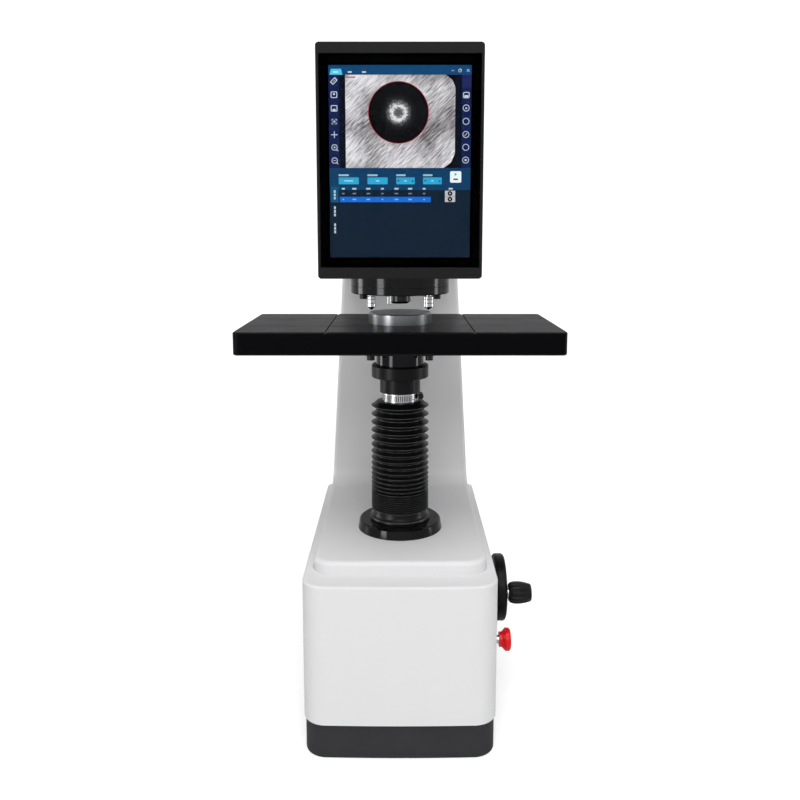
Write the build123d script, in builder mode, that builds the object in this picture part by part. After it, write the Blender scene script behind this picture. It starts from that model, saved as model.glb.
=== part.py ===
from build123d import *
import math
import os

# Bench hardness tester: C-shaped cast frame, portrait touch screen, three-station turret,
# grooved test table on an elevating screw under a bellows, side handwheel.
# Millimetres. +X to the user's right, +Y away from the user, +Z up.
# Origin: on the floor, below the load axis, which is also the elevating screw's axis.

os.makedirs("parts", exist_ok=True)

# Clearances
running = 0.05  # radial play of a shaft or slide in its bore
play = 0.3  # gap beside a part that passes without touching
screw_play = 0.2  # radial play of a screw in its hole
near = 1.0  # reach of a search for an edge

# Plinth and base plate
plinth_top = 46.0
plinth_inset = 1.6  # plinth side inside the housing's side
plinth_front_inset = 5.0
plinth_wall = 8.0
plinth_deck = 8.0
plinth_tail_half = 104.0  # half width behind the housing
plinth_tail_inset = 2.0
plinth_edge = 2.0
screw_well_r = 25.0
base_plate_height = 9.0
boss_front_x = 84.0
boss_rear_x = 70.0
boss_front_y = -108.0
boss_rear_y = 292.0
boss_r = 11.0

# Base housing
housing_half = 118.0
housing_front = 159.0
housing_rear = 234.0
housing_wall = 3.0
housing_corner = 29.0
housing_rear_corner = 8.0
housing_bow = 2.5  # how far the front face swells at its middle
housing_edge = 3.0

# Frame casting
body_inset = 11.3  # housing's side to the casting's plateau
body_half = housing_half - body_inset  # half width at the plateau
head_half = 73.3  # half width at the head's top
plateau_top = 237.9
plateau_step = 16.2
housing_top = plateau_top - plateau_step
plateau_front = 124.0
plateau_corner = 27.0
draft_from = 150.0  # the sides lean inwards from this height
body_rear = 335.0
throat = 190.0  # load axis to the column's front face
throat_radius = 25.0
head_top = 836.0
head_height = 246.0
head_under = head_top - head_height
head_front = 101.0
head_radius = 14.0
body_edge = 6.0
body_wall = 8.0
deck = 10.0  # thickness of the plateau

# Elevating screw and its drive
screw_r = 20.0
screw_bottom = 104.0
screw_neck_r = 26.8
neck_drop = 166.1  # head's underside to the neck's foot, with the table at rest
screw_neck_height = 20.2
screw_neck_bottom = head_under - neck_drop
screw_neck_top = screw_neck_bottom + screw_neck_height
screw_spigot_r = 16.0
screw_spigot_length = 26.0
screw_edge = 2.0
travel = 80.0
keyway_width = 8.0
keyway_depth = 4.0
drive_z = 150.0  # height of the handwheel shaft
gear_module = 3.0
nut_teeth = 32
pinion_teeth = 16
tooth_face = 12.0
tooth_addendum = 2.4
tooth_dedendum = 2.9
tooth_foot = 1.0  # how far a tooth reaches into the gear's rim
tooth_share = 0.44  # tooth thickness as a share of the pitch
pressure_angle = 20.0
nut_hub_r = 28.0
nut_bottom = 128.0
nut_top = 210.0
nut_web_top = 184.0
nut_rim = 4.0  # depth of the gear's rim below its teeth
pinion_rim = 1.0
pinion_shoulder_r = 14.0
pinion_back = 3.0  # shoulder behind the pinion's teeth
bearing_r = 30.0
washer_height = 2.5
case_floor = 12.0
case_inner_r = 60.0
case_wall = 6.0
case_flange_r = 80.0
case_flange_height = 10.0
case_boss_r = 19.0
case_boss_end = 76.0
case_screw_circle = 72.0
flange_r = 56.5
flange_top_r = 54.3
flange_height = 12.5
flange_edge = 1.5
flange_spigot_r = 32.0
flange_screw_circle = 44.0
bush_r = 26.0
bush_height = 32.0
key_length = 20.0

# Bellows and hose clamp
bellows_foot_r = 40.0
bellows_foot_height = 14.6
bellows_crest_r = 38.3
bellows_root_r = 30.5
bellows_wall = 2.0
pleat_growth = 2.1  # pitch of the last open pleat over the first one's
tight_pleats = 13
tight_pitch = 2.77
open_pleats = 12
cuff_r = 22.6
cuff_height = 12.0
bellows_top = screw_neck_bottom - cuff_height
clamp_gap = 0.3
clamp_thickness = 0.9
clamp_screw_r = 3.6
clamp_screw_length = 14.0
clamp_screw_z = bellows_top + cuff_height / 2
clamp_hex_r = 2.9

# Table, carrier and anvil
ring_r = 37.6
ring_height = 16.3
ring_edge = 1.0
drum_r = 31.5
drum_height = 15.7
mount_plate_width = 92.0
mount_plate_depth = 66.0
mount_plate_corner = 8.0
mount_flange_height = 12.0
mount_screw_pitch_x = 75.4
mount_screw_pitch_y = 52.8
table_width = 400.0
table_depth = 212.0
table_height = 28.0
table_corner = 7.0
table_edge = 1.2
groove_x = 89.0
groove_front = -41.0
groove_rear = 42.0
groove_width = 2.0
groove_depth = 1.5
anvil_r = 41.0
anvil_height = 13.6
anvil_edge = 1.0
anvil_spigot_r = 15.0
anvil_spigot_height = 6.0

# Handwheel and crank
shaft_r = 9.0
wheel_gap = 10.0  # housing to the wheel
wheel_width = 14.7
wheel_inner_x = housing_half + wheel_gap
wheel_outer_x = wheel_inner_x + wheel_width
wheel_r = 44.5
wheel_rim = 9.0
wheel_web = 7.0
wheel_hub_r = 19.0
wheel_edge = 4.0
wheel_recess = 2.0  # inner face to the web
wheel_dish = 4.0  # slope of the rim's inner side
wheel_hub_slope = 3.0
shaft_bush_r = 13.0
bearing_spigot_r = 14.0
bearing_flange_r = 23.0
bearing_reach = 8.5
bearing_outer_x = housing_half + bearing_reach
bearing_edge = 2.0
crank_radius = 34.7
crank_angle = 12.0  # degrees above the horizontal, towards the user
crank_pin_r = 5.0
crank_collar_r = 7.0
crank_boss_wall = 2.0
knob_gap = 1.9  # wheel to the knob
knob_length = 29.8
knob_start_x = wheel_outer_x + knob_gap
knob_end_x = knob_start_x + knob_length
knob_end_r = 11.5
knob_max_r = 14.5
knob_belly = 10.0  # distance of the thickest place from the inner end
knob_flutes = 10
knob_flute_r = 3.2
knob_edge = 1.0
knob_cap = 4.0  # closed outer end

# Emergency stop
estop_y = -70.0
estop_z = 110.0
estop_collar_r = 17.0
estop_collar_height = 5.0
estop_barrel_r = 11.0
estop_barrel_depth = 22.0
estop_nut_r = 15.0
estop_nut_height = 4.0
estop_stem_r = 5.0
estop_neck_r = 9.5
estop_head_r = 14.5
estop_head_height = 11.0
estop_reach = 25.0  # housing wall to the outer face
estop_travel = 5.0
estop_collar_edge = 1.0
estop_front_edge = 3.5
estop_back_edge = 4.5

# Turret
turret_y = -40.6
station_radius = 40.6
disc_r = 61.8
disc_drop = 31.4  # head's underside to the disc's
disc_thickness = 9.1
disc_bottom = head_under - disc_drop
disc_top = disc_bottom + disc_thickness
disc_gap = 0.4
disc_edge = 1.0
ring_groove_rise = 3.3
ring_groove_z = disc_top + ring_groove_rise
ring_groove = 1.0
drum_inner_r = 50.0
drum_wall = 2.5
ring_rise = 44.0  # head's underside to the housing's top
ring_top = head_under + ring_rise
ring_top_plate = 6.0
turret_shaft_r = 8.0
turret_shaft_reach = 18.0
turret_shaft_top = ring_top + turret_shaft_reach
turret_motor_width = 42.0
turret_motor_height = 56.0
turret_motor_top = ring_top + turret_motor_height
turret_motor_corner = 5.0
turret_screw_x = 46.0
turret_screw_head_r = 5.0
turret_screw_drop = 8.1
turret_screw_bottom = disc_bottom - turret_screw_drop
pin_x = -13.6
pin_r = 2.5
pin_drop = 15.0
pin_bottom = disc_bottom - pin_drop
pin_edge = 0.5
objective_r = 13.7
objective_drop = 17.2
objective_bottom = disc_bottom - objective_drop
objective_nose_r = 10.5
objective_bore_r = 8.0
objective_taper = 3.0
lens_r = 7.5
lens_height = 3.0
lens_recess = 1.0
lens_sag = 1.0
camera_r = 9.0
camera_rise = 44.3
camera_top = disc_top + camera_rise
camera_edge = 2.0
indenter_shank_r = 5.0
indenter_head_r = 8.5
indenter_head_height = 6.0
indenter_rise = 58.3
indenter_drop = 20.0
indenter_top = disc_top + indenter_rise
indenter_tip = disc_bottom - indenter_drop
left_holder_r = 5.0
right_holder_r = 6.5
holder_height = 12.0
neck_step = 1.2  # how much narrower the neck above the thicker holder is
ball_r = 1.25
ball_seat = 0.6  # width of the seat round the ball
nose_height = 4.0
neck_taper = 1.0
spring_inner_r = 5.8
spring_outer_r = 7.6

# Load train
spindle_r = 9.0
spindle_gap = 10.0  # indenter's head to the raised spindle
spindle_length = 54.0
spindle_bottom = indenter_top + spindle_gap
spindle_top = spindle_bottom + spindle_length
spindle_edge = 1.5
cell_r = 18.0
cell_height = 24.0
cell_edge = 1.0
load_screw_r = 8.0
load_screw_gap = 36.0  # screw's end to the head's top
load_screw_top = head_top - load_screw_gap
ball_nut_r = 14.0
nut_pulley_r = 24.0
pulley_height = 14.0
motor_pulley_r = 12.0
load_motor_y = 95.0
load_motor_width = 60.0
load_motor_height = 100.0
load_motor_shaft_r = 7.0
load_motor_corner = 6.0
belt_thickness = 2.0
bracket_half = 34.0
bracket_foot = 10.0
bracket_plate_y = 38.0
bracket_plate = 12.0
bracket_foot_rear = 120.0
bracket_window_corner = 6.0
lower_shelf_rise = 62.0
upper_shelf_drop = 92.0
lower_shelf = head_under + lower_shelf_rise
upper_shelf = head_top - upper_shelf_drop
shelf_height = 14.0
shelf_front = -18.5

# Touch screen
screen_width = 186.9
screen_height = 260.0
screen_rise = 5.3  # screen's top over the head's
screen_top = head_top + screen_rise
screen_front = 134.0
screen_depth = 30.0
screen_corner = 4.0
screen_edge = 1.0
bar_top = 12.2
bar_bottom = 12.8
side_strip = 3.3
glass_height = 3.0
screen_shell = 3.0
display_side = 14.25  # housing's side to the lit display
display_end = 24.4  # housing's ends to the lit display
display_width = screen_width - 2 * display_side
display_height = screen_height - 2 * display_end
display_bottom = screen_top - screen_height + display_end
display_margin = 3.0
display_thickness = 8.0
screen_back_height = 3.0
bracket_width = 100.0
bracket_height = 100.0
bracket_drop = 121.0
bracket_centre_z = head_top - bracket_drop

# Covers and electronics
cover_inset = 1.5
cover_screw_inset = 5.5  # screw axis to the casting's side
cover_thickness = 3.0
cover_bottom = 56.0
cover_drop = 12.0
cover_top = head_top - cover_drop
cover_corner = 4.0
cover_end = 20.0  # first and last screws from the cover's ends
vent_count = 9
vent_pitch = 9.0
vent_length = 70.0
vent_width = 4.0
inlet_z = 104.0
inlet_x = -28.0
inlet_width = 30.0
inlet_height = 24.0
switch_x = 24.0
switch_width = 21.0
switch_height = 28.0
switch_wall = 2.0
inlet_rim = 6.0  # how far the flange reaches past the cut-outs
inlet_flange = 2.0
inlet_depth = 18.0
inlet_wall = 3.0
inlet_corner = 3.0
socket_slope = 4.0  # sloping upper corners of the socket
blade_pitch = 6.5
blade_width = 2.0
blade_height = 4.0
blade_reach = 12.6
blade_drop = 1.0  # outer blades below the socket's middle
earth_rise = 2.0  # middle blade above it
rocker_gap = 2.0  # room at the rocker's ends for its swing
rocker_depth = 4.0
rocker_back = 3.0
rocker_low = 4.5  # pressed end, centre and raised end in front of the pivot
rocker_middle = 5.5
rocker_high = 8.0
rocker_taper = 0.6  # back's length as a share of the front's
rocker_pin_r = 1.5
rocker_pin_reach = 1.2
supply_size = (120.0, 90.0, 42.0)
supply_corner = 2.0
supply_rise = 62.1  # plateau to the middle of the supply
supply_z = plateau_top + supply_rise
board_size = (110.0, 150.0, 1.6)
board_rise = 140.0  # middle of the supply to that of the board
board_z = supply_z + board_rise
stand_off = 8.0
board_post_r = 3.0
board_post_inset = 5.0
chip_side = 26.0
chip_place = (-20.0, 20.0)
chip_height = 6.0
connector_size = (14.0, 30.0)
connector_x = 28.0
connector_rows = (-30.0, 10.0)

# Cap screws and cover screws
cap_r = 5.0
cap_height = 6.0
cap_shank_r = 3.0
cap_grip = 16.0
cap_hex_r = 2.7
cover_screw_r = 4.0
cover_screw_head = 2.2
cover_screw_shank_r = 2.0
cover_screw_length = 8.0

# Worked out from the driving dimensions
draft_slope = (body_half - head_half) / (head_top - plateau_top)
draft_angle = math.degrees(math.atan(draft_slope))
deck_under = plateau_top - deck
drum_outer_r = drum_inner_r + drum_wall
ring_screw_circle = drum_outer_r + cap_r + play
floor_inside = head_under + body_wall
flange_top = plateau_top + flange_height
ring_bottom_z = screw_neck_top
ring_top_z = ring_bottom_z + ring_height
mount_top = ring_top_z + drum_height + mount_flange_height
table_bottom = mount_top
table_top = table_bottom + table_height
screen_bottom = screen_top - screen_height
screen_back_y = screen_depth - screen_front


def half_at(height):
    """Half width of the casting's leaning sides at a height."""
    return body_half + draft_slope * (plateau_top - max(height, draft_from))


def bowed_plan(half, front, rear, corner, rear_corner, bow):
    """Plan of a base part: straight sides, a slightly bowed front, rounded corners."""
    with BuildSketch() as plan:
        with BuildLine():
            sides = Polyline((-half, bow - front), (-half, rear), (half, rear), (half, bow - front))
            ThreePointArc(sides @ 1, (0, -front), sides @ 0)
        make_face()
        fillet(plan.vertices().group_by(Axis.Y)[0], corner)
        if rear_corner > 0:
            fillet(plan.vertices().group_by(Axis.Y)[-1], rear_corner)
    return plan.sketch


def block_plan(half, front, rear, corner):
    """Plan of a cast block: straight front, rounded front corners, square rear."""
    with BuildSketch() as plan:
        with BuildLine():
            Polyline((-half, -front), (half, -front), (half, rear), (-half, rear), close=True)
        make_face()
        fillet(plan.vertices().group_by(Axis.Y)[0], corner)
    return plan.sketch


# Plans shared by the base parts
housing_plan = bowed_plan(
    housing_half, housing_front, housing_rear, housing_corner, housing_rear_corner, housing_bow
)
housing_inner_plan = bowed_plan(
    housing_half - housing_wall,
    housing_front - housing_wall,
    housing_rear - housing_wall,
    housing_corner - housing_wall,
    housing_rear_corner - housing_wall,
    housing_bow,
)
plinth_half = housing_half - plinth_inset
plinth_plan = bowed_plan(
    plinth_half,
    housing_front - plinth_front_inset,
    housing_rear - plinth_tail_inset,
    housing_corner - plinth_inset,
    housing_rear_corner,
    housing_bow,
)
plinth_inner_plan = bowed_plan(
    plinth_half - plinth_wall,
    housing_front - plinth_front_inset - plinth_wall,
    housing_rear - plinth_tail_inset - plinth_wall,
    housing_corner - plinth_inset - plinth_wall,
    0,
    housing_bow,
)
plinth_tail = body_rear - plinth_tail_inset
boss_places = [
    (-boss_front_x, boss_front_y),
    (boss_front_x, boss_front_y),
    (-boss_rear_x, boss_rear_y),
    (boss_rear_x, boss_rear_y),
]
tail_inner_half = plinth_tail_half - plinth_wall
with BuildSketch() as plinth_hollow:
    add(plinth_inner_plan)
    with Locations((0, (plinth_tail - plinth_wall) / 2)):
        Rectangle(2 * tail_inner_half, plinth_tail - plinth_wall)

# Base plate: thick steel plate that closes the plinth and rests on the bench
plate_seat = cap_height + play
with BuildPart() as base_plate:
    with BuildSketch():
        add(plinth_hollow.sketch)
        offset(amount=-play, kind=Kind.INTERSECTION)
    extrude(amount=base_plate_height)
    with BuildSketch():
        with Locations(*boss_places):
            Circle(cap_r + screw_play)
    extrude(amount=plate_seat, mode=Mode.SUBTRACT)
    with BuildSketch(Plane.XY.offset(plate_seat)):
        with Locations(*boss_places):
            Circle(cap_shank_r + screw_play)
    extrude(amount=base_plate_height, mode=Mode.SUBTRACT)
base_plate.part.label = "base_plate"
export_step(base_plate.part, "parts/base_plate.step")

# Plinth: black cast base, open below, with four bosses for the base plate
with BuildPart() as base_plinth:
    with BuildSketch():
        add(plinth_plan)
        with Locations((0, plinth_tail / 2)):
            Rectangle(2 * plinth_tail_half, plinth_tail)
    extrude(amount=plinth_top)
    fillet(base_plinth.edges().group_by(Axis.Z)[0], plinth_edge)
    with BuildSketch():
        add(plinth_hollow.sketch)
    extrude(amount=plinth_top - plinth_deck, mode=Mode.SUBTRACT)
    with BuildSketch(Plane.XY.offset(base_plate_height)):
        with Locations(*boss_places):
            Circle(boss_r)
    extrude(amount=plinth_top - plinth_deck - base_plate_height)
    with BuildSketch(Plane.XY.offset(base_plate_height)):
        with Locations(*boss_places):
            Circle(cap_shank_r + screw_play)
    extrude(amount=cap_grip, mode=Mode.SUBTRACT)
    with Locations((0, 0, plinth_top)):
        Hole(screw_well_r)
base_plinth.part.label = "base_plinth"
export_step(base_plinth.part, "parts/base_plinth.step")

# Arm of the frame casting: the C seen from the side, leaning in towards the head
arm_toe = throat - 2 * throat_radius
with BuildPart() as arm:
    with BuildSketch(Plane.YZ) as arm_side:
        with BuildLine():
            Polyline(
                (arm_toe, draft_from),
                (body_rear, draft_from),
                (body_rear, head_top),
                (-head_front, head_top),
                (-head_front, head_under),
                (throat, head_under),
                (throat, plateau_top),
                (arm_toe, plateau_top),
                close=True,
            )
        make_face()
        fillet(arm_side.vertices().filter_by_position(Axis.X, throat - near, throat + near), throat_radius)
        fillet(arm_side.vertices().filter_by_position(Axis.X, -head_front - near, near - head_front), head_radius)
    extrude(amount=housing_half, both=True)
    with BuildSketch(Plane.XZ):
        with BuildLine():
            Polyline(
                (-half_at(draft_from), draft_from),
                (half_at(draft_from), draft_from),
                (half_at(head_top), head_top),
                (-half_at(head_top), head_top),
                close=True,
            )
        make_face()
    extrude(amount=2 * body_rear, both=True, mode=Mode.INTERSECT)

# Hollow of the casting, seen from the side: base, column and head in one space
with BuildPart() as core:
    with BuildSketch(Plane.YZ):
        with BuildLine():
            Polyline(
                (body_wall - plateau_front, plinth_top),
                (body_rear, plinth_top),
                (body_rear, head_top - body_wall),
                (body_wall - head_front, head_top - body_wall),
                (body_wall - head_front, floor_inside),
                (throat + body_wall, floor_inside),
                (throat + body_wall, deck_under),
                (body_wall - plateau_front, deck_under),
                close=True,
            )
        make_face()
    extrude(amount=housing_half, both=True)
    with BuildSketch(Plane.XZ):
        with BuildLine():
            Polyline(
                (-body_half + body_wall, plinth_top),
                (body_half - body_wall, plinth_top),
                (body_half - body_wall, plateau_top),
                (half_at(head_top) - body_wall, head_top),
                (body_wall - half_at(head_top), head_top),
                (body_wall - body_half, plateau_top),
                close=True,
            )
        make_face()
    extrude(amount=2 * body_rear, both=True, mode=Mode.INTERSECT)

# Screws of the rear cover, down both edges of the casting's open back
screw_rows = 4
screw_row_pitch = (cover_top - cover_bottom - 2 * cover_end) / (screw_rows - 1)
cover_screw_places = [
    (side * (half_at(z) - cover_screw_inset), z)
    for z in [cover_bottom + cover_end + row * screw_row_pitch for row in range(screw_rows)]
    for side in (-1, 1)
]

# Frame casting: drafted base block with the arm on it, hollow and open at the back and below
foot_grow = half_at(draft_from) - body_half
foot_plan = block_plan(
    body_half + foot_grow, plateau_front + foot_grow, body_rear + housing_wall, plateau_corner + foot_grow
)
with BuildPart() as frame_casting:
    with BuildSketch(Plane.XY.offset(plinth_top)):
        add(foot_plan)
    extrude(amount=draft_from - plinth_top)
    with BuildSketch(Plane.XY.offset(draft_from)):
        add(foot_plan)
    extrude(amount=plateau_top - draft_from, taper=draft_angle)
    add(arm.part)
    split(bisect_by=Plane.XZ.offset(-body_rear), keep=Keep.TOP)
    front_edge = (
        frame_casting.edges()
        .filter_by(Axis.X)
        .filter_by_position(Axis.Z, plateau_top - 0.01, plateau_top + 0.01)
        .sort_by(Axis.Y)[0]
    )
    fillet(front_edge, body_edge)
    add(core.part, mode=Mode.SUBTRACT)
    with Locations((0, 0, plateau_top)):
        Cylinder(
            flange_spigot_r + running,
            3 * deck,
            mode=Mode.SUBTRACT,
        )
    with Locations((half_at(drive_z), 0, drive_z)):
        Cylinder(bearing_spigot_r + running, 4 * body_wall, rotation=(0, 90, 0), mode=Mode.SUBTRACT)
    with Locations((half_at(estop_z), estop_y, estop_z)):
        Cylinder(estop_nut_r + play, 6 * body_wall, rotation=(0, 90, 0), mode=Mode.SUBTRACT)
    with Locations((0, turret_y, head_under)):
        Cylinder(
            drum_outer_r + play,
            ring_top - head_under + play,
            align=(Align.CENTER, Align.CENTER, Align.MIN),
            mode=Mode.SUBTRACT,
        )
    with Locations((0, 0, plateau_top)):
        with PolarLocations(flange_screw_circle, 4, 45):
            Cylinder(cap_shank_r + screw_play, 3 * deck, mode=Mode.SUBTRACT)
    with Locations((0, 0, deck_under)):
        with PolarLocations(case_screw_circle, 6, 30):
            Cylinder(cap_shank_r + screw_play, 2 * (cap_grip - case_flange_height + play), mode=Mode.SUBTRACT)
    with Locations((0, turret_y, head_under)):
        with PolarLocations(ring_screw_circle, 3, 90):
            Cylinder(cap_shank_r + screw_play, 2 * (body_wall + play), mode=Mode.SUBTRACT)
    with Locations(*[(x, body_rear, z) for x, z in cover_screw_places]):
        Cylinder(
            cover_screw_shank_r + screw_play,
            cover_screw_length,
            rotation=(90, 0, 0),
            mode=Mode.SUBTRACT,
        )
frame_casting.part.label = "frame_casting"
export_step(frame_casting.part, "parts/frame_casting.step")

# Base housing: white shell over the base, its top ledge open round the plateau
with BuildPart() as base_housing:
    with BuildSketch(Plane.XY.offset(plinth_top)):
        add(housing_plan)
    extrude(amount=housing_top - plinth_top)
    fillet(base_housing.edges().group_by(Axis.Z)[-1], housing_edge)
    with BuildSketch(Plane.XY.offset(plinth_top)):
        add(housing_inner_plan)
    extrude(amount=housing_top - housing_wall - plinth_top, mode=Mode.SUBTRACT)
    with BuildSketch(Plane.XY.offset(housing_top - housing_wall)):
        add(foot_plan)
        offset(amount=half_at(housing_top - housing_wall) - half_at(draft_from) + play)
    extrude(amount=2 * housing_wall, mode=Mode.SUBTRACT)
    with BuildSketch(Plane.XZ.offset(-housing_rear)):
        with BuildLine():
            Polyline(
                (-half_at(draft_from) - play, plinth_top),
                (-half_at(draft_from) - play, draft_from),
                (-half_at(housing_top) - play, housing_top),
                (half_at(housing_top) + play, housing_top),
                (half_at(draft_from) + play, draft_from),
                (half_at(draft_from) + play, plinth_top),
                close=True,
            )
        make_face()
    extrude(amount=3 * housing_wall, both=True, mode=Mode.SUBTRACT)
    with Locations((housing_half, 0, drive_z)):
        Cylinder(bearing_flange_r + play, 4 * housing_wall, rotation=(0, 90, 0), mode=Mode.SUBTRACT)
    with Locations((housing_half, estop_y, estop_z)):
        Cylinder(estop_barrel_r + screw_play, 4 * housing_wall, rotation=(0, 90, 0), mode=Mode.SUBTRACT)
base_housing.part.label = "base_housing"
export_step(base_housing.part, "parts/base_housing.step")

# Rear cover: sheet that closes the casting's open back, with vents and the power panel's cut-outs
with BuildPart() as rear_cover:
    with BuildSketch(Plane.XZ.offset(-body_rear)) as cover_plan:
        with BuildLine():
            Polyline(
                (cover_inset - half_at(cover_bottom), cover_bottom),
                (cover_inset - half_at(draft_from), draft_from),
                (cover_inset - half_at(cover_top), cover_top),
                (half_at(cover_top) - cover_inset, cover_top),
                (half_at(draft_from) - cover_inset, draft_from),
                (half_at(cover_bottom) - cover_inset, cover_bottom),
                close=True,
            )
        make_face()
        fillet(cover_plan.vertices().group_by(Axis.Y)[0], cover_corner)
        fillet(cover_plan.vertices().group_by(Axis.Y)[-1], cover_corner)
        with Locations((inlet_x, inlet_z)):
            Rectangle(inlet_width, inlet_height, mode=Mode.SUBTRACT)
        with Locations((switch_x, inlet_z)):
            Rectangle(switch_width, switch_height, mode=Mode.SUBTRACT)
        for vent_z in (supply_z, bracket_centre_z):
            with Locations((0, vent_z)):
                with GridLocations(0, vent_pitch, 1, vent_count):
                    SlotOverall(vent_length, vent_width, mode=Mode.SUBTRACT)
        with Locations(*cover_screw_places):
            Circle(cover_screw_shank_r + screw_play, mode=Mode.SUBTRACT)
    extrude(amount=-cover_thickness)
rear_cover.part.label = "rear_cover"
export_step(rear_cover.part, "parts/rear_cover.step")

# Screw flange: round plate on the plateau, with a spigot through the deck
with BuildPart() as screw_flange:
    with BuildSketch(Plane.XZ):
        with BuildLine():
            Polyline(
                (bush_r + running, deck_under),
                (flange_spigot_r, deck_under),
                (flange_spigot_r, plateau_top),
                (flange_r, plateau_top),
                (flange_top_r, flange_top),
                (screw_r + play, flange_top),
                (screw_r + play, flange_top - flange_height / 3),
                (bush_r + running, flange_top - flange_height / 3),
                close=True,
            )
        make_face()
    revolve(axis=Axis.Z)
    chamfer(screw_flange.edges().group_by(Axis.Z)[-1].sort_by(SortBy.RADIUS)[-1], flange_edge)
    with Locations((0, 0, plateau_top)):
        with PolarLocations(flange_screw_circle, 4, 45):
            Cylinder(
                cap_shank_r + screw_play,
                cap_grip - deck + play,
                align=(Align.CENTER, Align.CENTER, Align.MIN),
                mode=Mode.SUBTRACT,
            )
screw_flange.part.label = "screw_flange"
export_step(screw_flange.part, "parts/screw_flange.step")

# Guide bush: bronze sleeve in the flange, slotted for the key
bush_top = flange_top - flange_height / 3
with BuildPart() as guide_bush:
    with BuildSketch(Plane.XY.offset(bush_top - bush_height)):
        Circle(bush_r)
        Circle(screw_r + running, mode=Mode.SUBTRACT)
    extrude(amount=bush_height)
    with Locations((0, screw_r, bush_top)):
        Box(
            keyway_width,
            2 * (bush_r - screw_r),
            2 * key_length + 2 * play,
            mode=Mode.SUBTRACT,
        )
guide_bush.part.label = "guide_bush"
export_step(guide_bush.part, "parts/guide_bush.step")

# Guide key: stops the elevating screw from turning
key_inner = screw_r - keyway_depth + running
key_outer = math.sqrt(bush_r**2 - keyway_width**2 / 4)
with BuildPart() as guide_key:
    with Locations((0, (key_inner + key_outer) / 2, bush_top - key_length / 2)):
        Box(keyway_width - 2 * running, key_outer - key_inner - 2 * running, key_length)
guide_key.part.label = "guide_key"
export_step(guide_key.part, "parts/guide_key.step")

# Elevating screw: shank with a keyway, a wide neck and a spigot for the table carrier
with BuildPart() as elevating_screw:
    with BuildSketch(Plane.XZ):
        with BuildLine():
            Polyline(
                (0, screw_bottom),
                (screw_r, screw_bottom),
                (screw_r, screw_neck_bottom),
                (screw_neck_r, screw_neck_bottom),
                (screw_neck_r, screw_neck_top),
                (screw_spigot_r, screw_neck_top),
                (screw_spigot_r, screw_neck_top + screw_spigot_length),
                (0, screw_neck_top + screw_spigot_length),
                close=True,
            )
        make_face()
    revolve(axis=Axis.Z)
    chamfer(elevating_screw.edges().group_by(Axis.Z)[0], screw_edge)
    keyway_bottom = bush_top - key_length - travel / 8
    keyway_top = bush_top + travel + travel / 8
    with Locations((0, screw_r, (keyway_bottom + keyway_top) / 2)):
        Box(keyway_width, 2 * keyway_depth, keyway_top - keyway_bottom, mode=Mode.SUBTRACT)
elevating_screw.part.label = "elevating_screw"
export_step(elevating_screw.part, "parts/elevating_screw.step")

# Bevel teeth, cut on straight lines to the point where the two shafts' axes meet
pitch = math.pi * gear_module
half_tooth = tooth_share * pitch / 2
flank = math.tan(math.radians(pressure_angle))
tooth_root = tooth_dedendum + tooth_foot


def bevel_tooth(teeth, mate_teeth, turn):
    """One bevel tooth at the +X side of a gear whose axis is +Z and whose apex is the origin."""
    cone = math.atan(teeth / mate_teeth)
    outer = gear_module * teeth / 2 / math.sin(cone)
    along = Vector(math.sin(cone), 0, math.cos(cone))
    with BuildPart() as tooth:
        for distance in (outer, outer - tooth_face):
            scale_here = distance / outer
            end = Plane(origin=along * distance, x_dir=(0, 1, 0), z_dir=along)
            rise = 1 if end.y_dir.X > 0 else -1
            tip = tooth_addendum * scale_here * rise
            root = -tooth_root * scale_here * rise
            tip_half = (half_tooth - tooth_addendum * flank) * scale_here
            root_half = (half_tooth + tooth_root * flank) * scale_here
            with BuildSketch(end):
                with BuildLine():
                    Polyline(
                        (-tip_half, tip),
                        (tip_half, tip),
                        (root_half, root),
                        (-root_half, root),
                        close=True,
                    )
                make_face()
        loft(ruled=True)
    return tooth.part.rotate(Axis.Z, turn)


def bevel_root(teeth, mate_teeth, share):
    """Radius and height of the tooth root at a share of the tooth's length from its outer end."""
    cone = math.atan(teeth / mate_teeth)
    outer = gear_module * teeth / 2 / math.sin(cone)
    distance = outer - share * tooth_face
    depth = tooth_dedendum * distance / outer
    radius = distance * math.sin(cone) - depth * math.cos(cone)
    height = distance * math.cos(cone) + depth * math.sin(cone)
    return radius, height


# Lift nut: bronze nut with a bevel gear, turned by the pinion shaft
nut_in = bevel_root(nut_teeth, pinion_teeth, 1)
nut_out = bevel_root(nut_teeth, pinion_teeth, 0)
nut_cone = math.atan(nut_teeth / pinion_teeth)
web_rise = nut_web_top - drive_z - nut_out[1]
with BuildPart() as lift_nut:
    with BuildSketch(Plane.XZ):
        with BuildLine():
            Polyline(
                (screw_r + running, nut_bottom - drive_z),
                (nut_hub_r, nut_bottom - drive_z),
                (nut_hub_r, nut_in[1] - nut_rim),
                nut_in,
                nut_out,
                (nut_out[0] - web_rise / math.tan(nut_cone), nut_out[1] + web_rise),
                (nut_hub_r, nut_out[1] + web_rise),
                (nut_hub_r, nut_top - drive_z),
                (screw_r + running, nut_top - drive_z),
                close=True,
            )
        make_face()
    revolve(axis=Axis.Z)
    nut_tooth = bevel_tooth(nut_teeth, pinion_teeth, 0)
    with PolarLocations(0, nut_teeth):
        add(nut_tooth)
lift_nut.part = lift_nut.part.moved(Location((0, 0, drive_z)))
lift_nut.part.label = "lift_nut"
export_step(lift_nut.part, "parts/lift_nut.step")

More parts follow.
